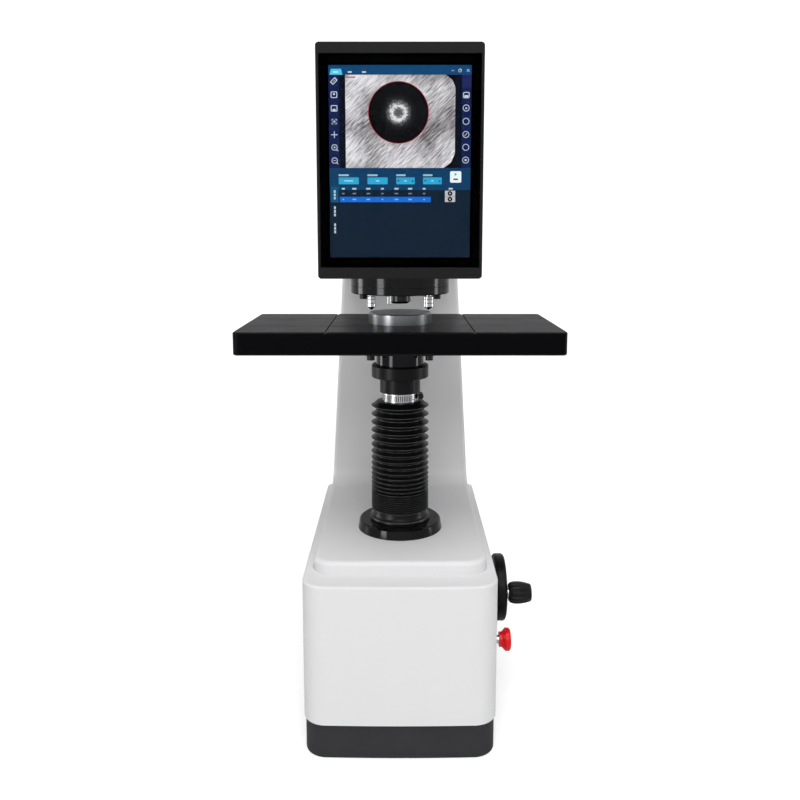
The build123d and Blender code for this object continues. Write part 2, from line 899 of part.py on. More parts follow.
# Pinion shaft: steel shaft of the handwheel, with the bevel pinion cut on it
pin_in = bevel_root(pinion_teeth, nut_teeth, 1)
pin_out = bevel_root(pinion_teeth, nut_teeth, 0)
pinion_cone = math.atan(pinion_teeth / nut_teeth)
shaft_end_x = wheel_outer_x - wheel_edge
with BuildPart() as pinion_shaft:
    with BuildSketch(Plane.XZ):
        with BuildLine():
            Polyline(
                (0, pin_in[1]),
                pin_in,
                pin_out,
                (pin_out[0] - pinion_rim / math.tan(pinion_cone), pin_out[1] + pinion_rim),
                (pinion_shoulder_r, pin_out[1] + pinion_back),
                (shaft_r, pin_out[1] + pinion_back),
                (shaft_r, shaft_end_x),
                (0, shaft_end_x),
                close=True,
            )
        make_face()
    revolve(axis=Axis.Z)
    pinion_tooth = bevel_tooth(pinion_teeth, nut_teeth, 180 / pinion_teeth)
    with PolarLocations(0, pinion_teeth):
        add(pinion_tooth)
pinion_shaft.part = pinion_shaft.part.rotate(Axis.Y, 90).moved(Location((0, 0, drive_z)))
pinion_shaft.part.label = "pinion_shaft"
export_step(pinion_shaft.part, "parts/pinion_shaft.step")

# Gear case: cast cup under the deck that carries the nut's thrust and the pinion shaft
case_top = deck_under
thrust_seat = nut_bottom - 3 * washer_height - play
with BuildPart() as gear_case:
    with BuildSketch(Plane.XZ):
        with BuildLine():
            Polyline(
                (screw_r + play, thrust_seat - case_floor),
                (case_inner_r + case_wall, thrust_seat - case_floor),
                (case_inner_r + case_wall, case_top - case_flange_height),
                (case_flange_r, case_top - case_flange_height),
                (case_flange_r, case_top),
                (case_inner_r, case_top),
                (case_inner_r, thrust_seat),
                (screw_r + play, thrust_seat),
                close=True,
            )
        make_face()
    revolve(axis=Axis.Z)
    with BuildSketch(Plane.YZ.offset(case_inner_r)):
        with Locations((0, drive_z)):
            Circle(case_boss_r)
    extrude(amount=case_boss_end - case_inner_r)
    with BuildSketch(Plane.YZ.offset(case_inner_r / 2)):
        with Locations((0, drive_z)):
            Circle(case_boss_r)
    extrude(amount=case_inner_r / 2 - play, mode=Mode.SUBTRACT)
    with BuildSketch(Plane.YZ.offset(case_inner_r - case_wall)):
        with Locations((0, drive_z)):
            Circle(shaft_bush_r + running)
    extrude(amount=case_boss_end - case_inner_r + case_wall, mode=Mode.SUBTRACT)
    with Locations((0, 0, case_top)):
        with PolarLocations(case_screw_circle, 6, 30):
            Cylinder(cap_shank_r + screw_play, 3 * case_flange_height, mode=Mode.SUBTRACT)
gear_case.part.label = "gear_case"
export_step(gear_case.part, "parts/gear_case.step")

# Thrust bearing: two washers with a needle cage between them
with BuildPart() as thrust_bearing:
    for layer in range(3):
        with BuildSketch(Plane.XY.offset(thrust_seat + layer * (washer_height + play / 3))):
            Circle(bearing_r)
            Circle(screw_r + play, mode=Mode.SUBTRACT)
        extrude(amount=washer_height)
thrust_bearing.part.label = "thrust_bearing"
export_step(thrust_bearing.part, "parts/thrust_bearing.step")

# Shaft bush: bronze bush in the gear case's boss
with BuildPart() as shaft_bush:
    with BuildSketch(Plane.YZ.offset(case_inner_r - play)):
        with Locations((0, drive_z)):
            Circle(shaft_bush_r)
            Circle(shaft_r + running, mode=Mode.SUBTRACT)
    extrude(amount=case_boss_end - case_inner_r + play)
shaft_bush.part.label = "shaft_bush"
export_step(shaft_bush.part, "parts/shaft_bush.step")

# Wheel bearing: flanged housing on the casting's right wall, out through the white shell
wall_x = half_at(drive_z)
with BuildPart() as wheel_bearing:
    with BuildSketch(Plane.YZ.offset(wall_x - body_wall)):
        with Locations((0, drive_z)):
            Circle(bearing_spigot_r)
    extrude(amount=body_wall)
    with BuildSketch(Plane.YZ.offset(wall_x)):
        with Locations((0, drive_z)):
            Circle(bearing_flange_r)
    extrude(amount=bearing_outer_x - wall_x)
    chamfer(wheel_bearing.edges().group_by(Axis.X)[-1], bearing_edge)
    with Locations((wall_x, 0, drive_z)):
        Cylinder(shaft_r + running, 8 * body_wall, rotation=(0, 90, 0), mode=Mode.SUBTRACT)
wheel_bearing.part.label = "wheel_bearing"
export_step(wheel_bearing.part, "parts/wheel_bearing.step")

# Handwheel: dished disc with a rounded rim and a hub on the pinion shaft
wheel_plane = Plane(origin=(0, 0, drive_z), x_dir=(1, 0, 0), z_dir=(0, -1, 0))
wheel_axis = Axis((0, 0, drive_z), (1, 0, 0))
web_x = wheel_inner_x + wheel_recess
crank_y = -crank_radius * math.cos(math.radians(crank_angle))
crank_z = drive_z + crank_radius * math.sin(math.radians(crank_angle))
with BuildPart() as handwheel:
    with BuildSketch(wheel_plane) as wheel_profile:
        with BuildLine():
            Polyline(
                (wheel_inner_x, shaft_r + running),
                (wheel_inner_x, wheel_r),
                (wheel_outer_x, wheel_r),
                (wheel_outer_x, wheel_r - wheel_rim),
                (web_x + wheel_web, wheel_r - wheel_rim - wheel_dish),
                (web_x + wheel_web, wheel_hub_r + wheel_hub_slope),
                (wheel_outer_x, wheel_hub_r),
                (wheel_outer_x, shaft_r + running),
                close=True,
            )
        make_face()
        fillet(wheel_profile.vertices().group_by(Axis.Y)[-1], wheel_edge)
    revolve(axis=wheel_axis)
    with BuildSketch(Plane.YZ.offset(web_x + wheel_web / 2)):
        with Locations((crank_y, crank_z)):
            Circle(crank_collar_r + crank_boss_wall)
    extrude(amount=wheel_outer_x - web_x - wheel_web / 2)
    with Locations((wheel_outer_x, crank_y, crank_z)):
        Cylinder(crank_pin_r + running, 2 * wheel_web, rotation=(0, 90, 0), mode=Mode.SUBTRACT)
handwheel.part.label = "handwheel"
export_step(handwheel.part, "parts/handwheel.step")

# Crank pin: shouldered steel pin on which the knob turns
pin_root_x = wheel_outer_x - wheel_web + play
with BuildPart() as crank_pin:
    with BuildSketch(Plane.YZ.offset(pin_root_x)):
        with Locations((crank_y, crank_z)):
            Circle(crank_pin_r)
    extrude(amount=knob_end_x - knob_cap - 3 * play - pin_root_x)
    with BuildSketch(Plane.YZ.offset(wheel_outer_x)):
        with Locations((crank_y, crank_z)):
            Circle(crank_collar_r)
    extrude(amount=knob_start_x - play - wheel_outer_x)
crank_pin.part.label = "crank_pin"
export_step(crank_pin.part, "parts/crank_pin.step")

# Crank knob: fluted barrel that turns freely on the pin
knob_plane = Plane(origin=(0, crank_y, crank_z), x_dir=(1, 0, 0), z_dir=(0, -1, 0))
knob_axis = Axis((0, crank_y, crank_z), (1, 0, 0))
with BuildPart() as crank_knob:
    with BuildSketch(knob_plane):
        with BuildLine():
            Polyline(
                (knob_start_x, knob_end_r),
                (knob_start_x + knob_belly, knob_max_r),
                (knob_end_x - knob_edge, knob_end_r),
                (knob_end_x, knob_end_r - knob_edge),
                (knob_end_x, 0),
                (knob_end_x - knob_cap, 0),
                (knob_end_x - knob_cap, crank_pin_r + running),
                (knob_start_x, crank_pin_r + running),
                close=True,
            )
        make_face()
    revolve(axis=knob_axis)
    with Locations((knob_start_x + knob_belly, crank_y, crank_z)):
        with Locations(Rotation(0, 90, 0)):
            with PolarLocations(knob_max_r + knob_flute_r / 2, knob_flutes):
                Cylinder(knob_flute_r, 4 * (knob_end_x - knob_start_x), mode=Mode.SUBTRACT)
crank_knob.part.label = "crank_knob"
export_step(crank_knob.part, "parts/crank_knob.step")

# Emergency stop: collar with its barrel, and a round nut behind the shell
estop_tip = housing_half + estop_reach
with BuildPart() as estop_collar:
    with BuildSketch(Plane.YZ.offset(housing_half)):
        with Locations((estop_y, estop_z)):
            Circle(estop_collar_r)
    extrude(amount=estop_collar_height)
    chamfer(estop_collar.edges().group_by(Axis.X)[-1], estop_collar_edge)
    with BuildSketch(Plane.YZ.offset(housing_half)):
        with Locations((estop_y, estop_z)):
            Circle(estop_barrel_r)
    extrude(amount=-estop_barrel_depth)
    with BuildSketch(Plane.YZ.offset(housing_half - housing_wall)):
        with Locations((estop_y, estop_z)):
            Circle(estop_nut_r)
    extrude(amount=-estop_nut_height)
    with BuildSketch(Plane.YZ.offset(housing_half + estop_collar_height)):
        with Locations((estop_y, estop_z)):
            Circle(estop_stem_r + running)
    extrude(amount=-estop_barrel_depth, mode=Mode.SUBTRACT)
estop_collar.part.label = "estop_collar"
export_step(estop_collar.part, "parts/estop_collar.step")

# Emergency stop stem: slides in the barrel and carries the head
stem_inner = housing_half + estop_collar_height - estop_barrel_depth + estop_travel + play
with BuildPart() as estop_stem:
    with BuildSketch(Plane.YZ.offset(stem_inner)):
        with Locations((estop_y, estop_z)):
            Circle(estop_stem_r)
    extrude(amount=estop_tip - estop_head_height / 2 - stem_inner)
estop_stem.part.label = "estop_stem"
export_step(estop_stem.part, "parts/estop_stem.step")

# Emergency stop head: red mushroom on a short neck, turned to release it
estop_plane = Plane(origin=(0, estop_y, estop_z), x_dir=(1, 0, 0), z_dir=(0, -1, 0))
estop_axis = Axis((0, estop_y, estop_z), (1, 0, 0))
neck_inner = housing_half + estop_collar_height + estop_travel + play
with BuildPart() as estop_head:
    with BuildSketch(estop_plane) as mushroom:
        with BuildLine():
            Polyline(
                (estop_tip - estop_head_height / 2, 0),
                (estop_tip, 0),
                (estop_tip, estop_head_r),
                (estop_tip - estop_head_height, estop_head_r),
                (estop_tip - estop_head_height, estop_neck_r),
                (neck_inner, estop_neck_r),
                (neck_inner, estop_stem_r + running),
                (estop_tip - estop_head_height / 2, estop_stem_r + running),
                close=True,
            )
        make_face()
        fillet(mushroom.vertices().group_by(Axis.Y)[-1].sort_by(Axis.X)[-1], estop_front_edge)
        chamfer(mushroom.vertices().group_by(Axis.Y)[-1].sort_by(Axis.X)[0], estop_back_edge)
    revolve(axis=estop_axis)
estop_head.part.label = "estop_head"
export_step(estop_head.part, "parts/estop_head.step")

# Bellows: rubber pleats, drawn out towards the top and pressed into one stack at the foot
pleat_start = flange_top + bellows_foot_height
tight_top = pleat_start + tight_pleats * tight_pitch
open_rise = bellows_top - tight_top
first_pitch = 2 * open_rise / open_pleats / (1 + pleat_growth)
grow = 2 * (open_rise / open_pleats - first_pitch) / (open_pleats - 1)
profile = [
    (bellows_root_r - bellows_wall, flange_top + play),
    (bellows_foot_r, flange_top + play),
    (bellows_foot_r, flange_top + bellows_foot_height / 3),
    (bellows_root_r, pleat_start),
    (bellows_crest_r, pleat_start + tight_pitch),
    (bellows_crest_r, tight_top - tight_pitch / 2),
    (bellows_root_r, tight_top),
]
height = tight_top
for pleat in range(open_pleats):
    rise = first_pitch + grow * pleat
    profile.append((bellows_crest_r, height + rise / 2))
    height += rise
    profile.append((bellows_root_r, height))
profile.append((cuff_r + play, height))
profile.append((cuff_r, height))
profile.append((cuff_r, height + cuff_height))
profile.append((screw_r + play, height + cuff_height))
profile.append((screw_r + play, height - bellows_wall))
profile.append((bellows_root_r - bellows_wall, height - bellows_wall))
with BuildPart() as bellows:
    with BuildSketch(Plane.XZ):
        with BuildLine():
            Polyline(*profile, close=True)
        make_face()
    revolve(axis=Axis.Z)
bellows.part.label = "bellows"
export_step(bellows.part, "parts/bellows.step")

# Hose clamp: steel band round the bellows cuff, with ears for its worm screw
band_inner = cuff_r + clamp_gap
band_outer = band_inner + clamp_thickness
band_bottom = bellows_top + clamp_gap
band_top = screw_neck_bottom - clamp_gap
with BuildPart() as hose_clamp:
    with BuildSketch(Plane.XY.offset(band_bottom)):
        Circle(band_outer)
        Circle(band_inner, mode=Mode.SUBTRACT)
    extrude(amount=band_top - band_bottom)
hose_clamp.part.label = "hose_clamp"
export_step(hose_clamp.part, "parts/hose_clamp.step")

# Clamp screw: worm screw housing at the right of the band
clamp_seat = band_outer + screw_play
with BuildPart() as clamp_screw:
    with BuildSketch(Plane.XZ.offset(-clamp_screw_length / 2)):
        with Locations((clamp_seat + clamp_screw_r, clamp_screw_z)):
            Circle(clamp_screw_r)
    extrude(amount=clamp_screw_length)
    with BuildSketch(Plane.XZ.offset(clamp_screw_length / 2)):
        with Locations((clamp_seat + clamp_screw_r, clamp_screw_z)):
            RegularPolygon(clamp_hex_r, 6)
    extrude(amount=clamp_screw_r)
clamp_screw.part.label = "clamp_screw"
export_step(clamp_screw.part, "parts/clamp_screw.step")

# Locking ring: round nut between the screw's neck and the table carrier
with BuildPart() as locking_ring:
    with BuildSketch(Plane.XY.offset(ring_bottom_z)):
        Circle(ring_r)
        Circle(screw_spigot_r + running, mode=Mode.SUBTRACT)
    extrude(amount=ring_height)
    chamfer(locking_ring.edges().filter_by(GeomType.CIRCLE).sort_by(SortBy.RADIUS)[-2:], ring_edge)
locking_ring.part.label = "locking_ring"
export_step(locking_ring.part, "parts/locking_ring.step")

# Table mount: drum on the screw's spigot with an oblong plate under the table
flange_under = mount_top - mount_flange_height
with BuildPart() as table_mount:
    with BuildSketch(Plane.XY.offset(ring_top_z)):
        Circle(drum_r)
    extrude(amount=drum_height)
    with BuildSketch(Plane.XY.offset(flange_under)):
        RectangleRounded(mount_plate_width, mount_plate_depth, mount_plate_corner)
    extrude(amount=mount_flange_height)
    with BuildSketch(Plane.XY.offset(ring_top_z)):
        Circle(screw_spigot_r + running)
    extrude(amount=screw_spigot_length - ring_height + play, mode=Mode.SUBTRACT)
    with Locations((0, 0, mount_top)):
        with GridLocations(mount_screw_pitch_x, mount_screw_pitch_y, 2, 2):
            Cylinder(cap_shank_r + screw_play, 3 * mount_flange_height, mode=Mode.SUBTRACT)
table_mount.part.label = "table_mount"
export_step(table_mount.part, "parts/table_mount.step")

# Mount screws: cap screws from below, into the table
mount_grip = mount_flange_height + table_height / 2
with BuildPart() as mount_screws:
    with BuildSketch(Plane.XY.offset(flange_under)):
        with GridLocations(mount_screw_pitch_x, mount_screw_pitch_y, 2, 2):
            Circle(cap_r)
    extrude(amount=-cap_height)
    with BuildSketch(Plane.XY.offset(flange_under)):
        with GridLocations(mount_screw_pitch_x, mount_screw_pitch_y, 2, 2):
            Circle(cap_shank_r)
    extrude(amount=mount_grip)
    with BuildSketch(Plane.XY.offset(flange_under - cap_height)):
        with GridLocations(mount_screw_pitch_x, mount_screw_pitch_y, 2, 2):
            RegularPolygon(cap_hex_r, 6)
    extrude(amount=cap_height / 2, mode=Mode.SUBTRACT)
mount_screws.part.label = "mount_screws"
export_step(mount_screws.part, "parts/mount_screws.step")

# Test table: thick steel plate with lining grooves and a bore for the anvil
with BuildPart() as test_table:
    with BuildSketch(Plane.XY.offset(table_bottom)):
        RectangleRounded(table_width, table_depth, table_corner)
    extrude(amount=table_height)
    chamfer(test_table.edges().group_by(Axis.Z)[-1], table_edge)
    chamfer(test_table.edges().group_by(Axis.Z)[0], table_edge)
    with BuildSketch(Plane.XY.offset(table_top)):
        with Locations((-groove_x, 0), (groove_x, 0)):
            Rectangle(groove_width, table_depth)
        with Locations((0, groove_front), (0, groove_rear)):
            Rectangle(table_width, groove_width)
    extrude(amount=-groove_depth, mode=Mode.SUBTRACT)
    with BuildSketch(Plane.XY.offset(table_top)):
        Circle(anvil_spigot_r + running)
    extrude(amount=-anvil_spigot_height - play, mode=Mode.SUBTRACT)
    with BuildSketch(Plane.XY.offset(table_bottom)):
        with GridLocations(mount_screw_pitch_x, mount_screw_pitch_y, 2, 2):
            Circle(cap_shank_r + screw_play)
    extrude(amount=mount_grip - mount_flange_height + play, mode=Mode.SUBTRACT)
test_table.part.label = "test_table"
export_step(test_table.part, "parts/test_table.step")

# Flat anvil: hardened disc with a spigot that drops into the table
with BuildPart() as flat_anvil:
    with BuildSketch(Plane.XY.offset(table_top)):
        Circle(anvil_r)
    extrude(amount=anvil_height)
    chamfer(flat_anvil.edges().group_by(Axis.Z)[-1], anvil_edge)
    with BuildSketch(Plane.XY.offset(table_top)):
        Circle(anvil_spigot_r)
    extrude(amount=-anvil_spigot_height)
flat_anvil.part.label = "flat_anvil"
export_step(flat_anvil.part, "parts/flat_anvil.step")

# Turret housing: fixed drum that hangs through the head's floor, flanged under it
shaft_place = (0, turret_y)
with BuildPart() as turret_housing:
    with BuildSketch(Plane.XY.offset(disc_top + disc_gap)):
        with Locations(shaft_place):
            Circle(disc_r)
    extrude(amount=head_under - disc_top - disc_gap)
    with BuildSketch(Plane.XY.offset(head_under)):
        with Locations(shaft_place):
            Circle(drum_outer_r)
    extrude(amount=ring_top - head_under)
    with BuildSketch(Plane.XY.offset(ring_groove_z)):
        with Locations(shaft_place):
            Circle(disc_r + ring_groove)
            Circle(disc_r - ring_groove, mode=Mode.SUBTRACT)
    extrude(amount=ring_groove, mode=Mode.SUBTRACT)
    with BuildSketch(Plane.XY.offset(disc_top)):
        with Locations(shaft_place):
            Circle(drum_inner_r)
    extrude(amount=ring_top - ring_top_plate - disc_top, mode=Mode.SUBTRACT)
    with BuildSketch(Plane.XY.offset(ring_top - ring_top_plate)):
        with Locations(shaft_place):
            Circle(turret_shaft_r + running)
        Circle(spindle_r + play)
    extrude(amount=ring_top_plate, mode=Mode.SUBTRACT)
    with Locations((0, turret_y, head_under)):
        with PolarLocations(ring_screw_circle, 3, 90):
            Cylinder(cap_shank_r + screw_play, 2 * (cap_grip - body_wall + play), mode=Mode.SUBTRACT)
turret_housing.part.label = "turret_housing"
export_step(turret_housing.part, "parts/turret_housing.step")

# Turret disc: rotating disc with its shaft, and bores at the three stations
left_station = (-station_radius * math.cos(math.radians(30)), turret_y - station_radius / 2)
right_station = (station_radius * math.cos(math.radians(30)), turret_y - station_radius / 2)
with BuildPart() as turret_disc:
    with BuildSketch(Plane.XY.offset(disc_bottom)):
        with Locations(shaft_place):
            Circle(disc_r)
    extrude(amount=disc_top - disc_bottom)
    chamfer(turret_disc.edges().group_by(Axis.Z)[0], disc_edge)
    with BuildSketch(Plane.XY.offset(disc_top)):
        with Locations(shaft_place):
            Circle(turret_shaft_r)
    extrude(amount=turret_shaft_top - disc_top)
    with BuildSketch(Plane.XY.offset(disc_bottom)):
        Circle(objective_nose_r + running)
        with Locations(left_station, right_station):
            Circle(indenter_shank_r + running)
        with Locations((-turret_screw_x, turret_y), (turret_screw_x, turret_y)):
            Circle(cap_shank_r + screw_play)
        with Locations((pin_x, turret_y)):
            Circle(pin_r + screw_play)
    extrude(amount=disc_top - disc_bottom, mode=Mode.SUBTRACT)
turret_disc.part.label = "turret_disc"
export_step(turret_disc.part, "parts/turret_disc.step")

# Turret screws: black cap screws below the disc
with BuildPart() as turret_screws:
    with BuildSketch(Plane.XY.offset(turret_screw_bottom)):
        with Locations((-turret_screw_x, turret_y), (turret_screw_x, turret_y)):
            Circle(turret_screw_head_r)
    extrude(amount=disc_bottom - turret_screw_bottom)
    with BuildSketch(Plane.XY.offset(disc_bottom)):
        with Locations((-turret_screw_x, turret_y), (turret_screw_x, turret_y)):
            Circle(cap_shank_r)
    extrude(amount=disc_top - disc_bottom)
turret_screws.part.label = "turret_screws"
export_step(turret_screws.part, "parts/turret_screws.step")

# Turret pin: steel pin through the disc, beside its axis
with BuildPart() as turret_pin:
    with BuildSketch(Plane.XY.offset(pin_bottom)):
        with Locations((pin_x, turret_y)):
            Circle(pin_r)
    extrude(amount=disc_top - pin_bottom)
    chamfer(turret_pin.edges().group_by(Axis.Z)[0], pin_edge)
turret_pin.part.label = "turret_pin"
export_step(turret_pin.part, "parts/turret_pin.step")

# Turret motor: geared motor on the housing, its hollow shaft round the turret's shaft
with BuildPart() as turret_motor:
    with BuildSketch(Plane.XY.offset(ring_top)):
        with Locations(shaft_place):
            RectangleRounded(turret_motor_width, turret_motor_width, turret_motor_corner)
    extrude(amount=turret_motor_top - ring_top)
    with BuildSketch(Plane.XY.offset(ring_top)):
        with Locations(shaft_place):
            Circle(turret_shaft_r + running)
    extrude(amount=turret_shaft_top - ring_top + play, mode=Mode.SUBTRACT)
turret_motor.part.label = "turret_motor"
export_step(turret_motor.part, "parts/turret_motor.step")

# Objective: black barrel at the load axis, stepped into the disc, bored for its lens
with BuildPart() as objective:
    with BuildSketch(Plane.XZ):
        with BuildLine():
            Polyline(
                (objective_bore_r, objective_bottom),
                (objective_nose_r, objective_bottom),
                (objective_r, objective_bottom + objective_taper),
                (objective_r, disc_bottom),
                (objective_nose_r, disc_bottom),
                (objective_nose_r, disc_top),
                (objective_bore_r, disc_top),
                close=True,
            )
        make_face()
    revolve(axis=Axis.Z)
objective.part.label = "objective"
export_step(objective.part, "parts/objective.step")

# Objective lens: front lens in the barrel
lens_bottom = objective_bottom + lens_recess
with BuildPart() as objective_lens:
    with BuildSketch(Plane.XZ):
        with BuildLine():
            face = ThreePointArc(
                (0, lens_bottom),
                (lens_r / 2, lens_bottom + lens_sag / 4),
                (lens_r, lens_bottom + lens_sag),
            )
            Polyline(
                face @ 1,
                (lens_r, lens_bottom + lens_height),
                (0, lens_bottom + lens_height),
                face @ 0,
            )
        make_face()
    revolve(axis=Axis.Z)
objective_lens.part.label = "objective_lens"
export_step(objective_lens.part, "parts/objective_lens.step")

# Camera module: round camera on top of the disc, above the objective
with BuildPart() as camera_module:
    with BuildSketch(Plane.XY.offset(disc_top)):
        Circle(camera_r)
    extrude(amount=camera_top - disc_top)
    chamfer(camera_module.edges().group_by(Axis.Z)[-1], camera_edge)
camera_module.part.label = "camera_module"
export_step(camera_module.part, "parts/camera_module.step")


def indenter(station, holder_r, neck_r):
    """Ball indenter: ball, tapered nose, holder, shank through the disc and a head for the spring."""
    nose_top = indenter_tip + nose_height
    holder_top = nose_top + holder_height
    head_bottom = indenter_top - indenter_head_height
    axis = Axis((station[0], station[1], 0), (0, 0, 1))
    plane = Plane(origin=(station[0], station[1], 0), x_dir=(1, 0, 0), z_dir=(0, -1, 0))
    with BuildPart() as piece:
        with BuildSketch(plane):
            with BuildLine():
                tip = ThreePointArc(
                    (0, indenter_tip),
                    (ball_r * math.sqrt(0.5), indenter_tip + ball_r * (1 - math.sqrt(0.5))),
                    (ball_r, indenter_tip + ball_r),
                )
                Polyline(
                    tip @ 1,
                    (ball_r + ball_seat, indenter_tip + ball_r),
                    (holder_r, nose_top),
                    (holder_r, holder_top),
                    (neck_r, holder_top + neck_taper),
                    (neck_r, disc_bottom - neck_taper),
                    (indenter_shank_r, disc_bottom - neck_taper),
                    (indenter_shank_r, head_bottom),
                    (indenter_head_r, head_bottom),
                    (indenter_head_r, indenter_top),
                    (0, indenter_top),
                    tip @ 0,
                )
            make_face()
        revolve(axis=axis)
    return piece.part


# Ball indenters, one straight and one thicker with a narrow neck
left_indenter = indenter(left_station, left_holder_r, left_holder_r - neck_step / 3)
left_indenter.label = "left_indenter"
export_step(left_indenter, "parts/left_indenter.step")
right_indenter = indenter(right_station, right_holder_r, left_holder_r - neck_step)
right_indenter.label = "right_indenter"
export_step(right_indenter, "parts/right_indenter.step")


def return_spring(station):
    """Return spring between the disc and an indenter's head, as the tube that its wire fills."""
    with BuildPart() as piece:
        with BuildSketch(Plane.XY.offset(disc_top)):
            with Locations(station):
                Circle(spring_outer_r)
                Circle(spring_inner_r, mode=Mode.SUBTRACT)
        extrude(amount=indenter_top - indenter_head_height - disc_top)
    return piece.part


left_spring = return_spring(left_station)
left_spring.label = "left_spring"
export_step(left_spring, "parts/left_spring.step")
right_spring = return_spring(right_station)
right_spring.label = "right_spring"
export_step(right_spring, "parts/right_spring.step")

# Load bracket: machined bracket on the head's floor, with two shelves for the load train
bracket_rear = bracket_plate_y + bracket_plate
motor_half = load_motor_width / 2
shelf_rear = load_motor_y + motor_half
with BuildPart() as load_bracket:
    with BuildSketch(Plane.YZ):
        with BuildLine():
            Polyline(
                (bracket_plate_y, floor_inside),
                (bracket_foot_rear, floor_inside),
                (bracket_foot_rear, floor_inside + bracket_foot),
                (bracket_rear, floor_inside + bracket_foot),
                (bracket_rear, upper_shelf),
                (shelf_rear, upper_shelf),
                (shelf_rear, upper_shelf + shelf_height),
                (shelf_front, upper_shelf + shelf_height),
                (shelf_front, upper_shelf),
                (bracket_plate_y, upper_shelf),
                (bracket_plate_y, lower_shelf + shelf_height),
                (shelf_front, lower_shelf + shelf_height),
                (shelf_front, lower_shelf),
                (bracket_plate_y, lower_shelf),
                close=True,
            )
        make_face()
    extrude(amount=bracket_half, both=True)
    with BuildSketch(Plane.XY.offset(lower_shelf)):
        Circle(spindle_r + running)
    extrude(amount=shelf_height, mode=Mode.SUBTRACT)
    with BuildSketch(Plane.XY.offset(upper_shelf)):
        Circle(ball_nut_r + running)
        with Locations((0, load_motor_y)):
            Circle(load_motor_shaft_r + screw_play)
    extrude(amount=shelf_height, mode=Mode.SUBTRACT)
    with BuildSketch(Plane.XZ.offset(-bracket_plate_y)):
        with Locations((0, (lower_shelf + shelf_height + upper_shelf) / 2)):
            RectangleRounded(bracket_half, bracket_half, bracket_window_corner)
    extrude(amount=-bracket_plate, mode=Mode.SUBTRACT)
load_bracket.part.label = "load_bracket"
export_step(load_bracket.part, "parts/load_bracket.step")

# Loading spindle: ground ram in the lower shelf, above the station at the load axis
with BuildPart() as loading_spindle:
    with BuildSketch(Plane.XY.offset(spindle_bottom)):
        Circle(spindle_r)
    extrude(amount=spindle_top - spindle_bottom)
    chamfer(loading_spindle.edges().group_by(Axis.Z)[0], spindle_edge)
loading_spindle.part.label = "loading_spindle"
export_step(loading_spindle.part, "parts/loading_spindle.step")

# Load cell: button cell between the spindle and the load screw
with BuildPart() as load_cell:
    with BuildSketch(Plane.XY.offset(spindle_top)):
        Circle(cell_r)
    extrude(amount=cell_height)
    chamfer(load_cell.edges().filter_by(GeomType.CIRCLE), cell_edge)
load_cell.part.label = "load_cell"
export_step(load_cell.part, "parts/load_cell.step")

# Load screw: ball screw that pushes the cell down
with BuildPart() as load_screw:
    with BuildSketch(Plane.XY.offset(spindle_top + cell_height)):
        Circle(load_screw_r)
    extrude(amount=load_screw_top - spindle_top - cell_height)
    chamfer(load_screw.edges().group_by(Axis.Z)[-1], cell_edge)
load_screw.part.label = "load_screw"
export_step(load_screw.part, "parts/load_screw.step")

# Ball nut: rotating nut in the upper shelf, with its belt pulley above
pulley_bottom = upper_shelf + shelf_height + play
with BuildPart() as ball_nut:
    with BuildSketch(Plane.XY.offset(upper_shelf)):
        Circle(ball_nut_r)
    extrude(amount=pulley_bottom - upper_shelf)
    with BuildSketch(Plane.XY.offset(pulley_bottom)):
        Circle(nut_pulley_r)
    extrude(amount=pulley_height)
    with BuildSketch(Plane.XY.offset(upper_shelf)):
        Circle(load_screw_r + running)
    extrude(amount=shelf_height + pulley_height + play, mode=Mode.SUBTRACT)
ball_nut.part.label = "ball_nut"
export_step(ball_nut.part, "parts/ball_nut.step")

# Load motor: square motor hung under the upper shelf
with BuildPart() as load_motor:
    with BuildSketch(Plane.XY.offset(upper_shelf - load_motor_height)):
        with Locations((0, load_motor_y)):
            RectangleRounded(load_motor_width, load_motor_width, load_motor_corner)
    extrude(amount=load_motor_height)
load_motor.part.label = "load_motor"
export_step(load_motor.part, "parts/load_motor.step")

# Motor pulley: small belt pulley on the load motor's shaft
with BuildPart() as motor_pulley:
    with BuildSketch(Plane.XY.offset(upper_shelf + play)):
        with Locations((0, load_motor_y)):
            Circle(load_motor_shaft_r)
    extrude(amount=pulley_bottom - upper_shelf - play)
    with BuildSketch(Plane.XY.offset(pulley_bottom)):
        with Locations((0, load_motor_y)):
            Circle(motor_pulley_r)
    extrude(amount=pulley_height)
motor_pulley.part.label = "motor_pulley"
export_step(motor_pulley.part, "parts/motor_pulley.step")


def belt_plan(grow):
    """Area inside a belt's loop round the two pulleys, wider than them all round by grow."""
    big = nut_pulley_r + grow
    small = motor_pulley_r + grow
    lean = (big - small) / load_motor_y
    side = math.sqrt(1 - lean**2)
    with BuildSketch() as plan:
        with BuildLine():
            near = ThreePointArc((big * side, big * lean), (0, -big), (-big * side, big * lean))
            far_left = (-small * side, load_motor_y + small * lean)
            far_right = (small * side, load_motor_y + small * lean)
            Line(near @ 1, far_left)
            ThreePointArc(far_left, (0, load_motor_y + small), far_right)
            Line(far_right, near @ 0)
        make_face()
    return plan.sketch


# Load belt: toothed belt round both pulleys
belt_inner = belt_plan(play)
belt_outer = belt_plan(play + belt_thickness)
with BuildPart() as load_belt:
    with BuildSketch(Plane.XY.offset(pulley_bottom + play)):
        add(belt_outer)
        add(belt_inner, mode=Mode.SUBTRACT)
    extrude(amount=pulley_height - 2 * play)
load_belt.part.label = "load_belt"
export_step(load_belt.part, "parts/load_belt.step")

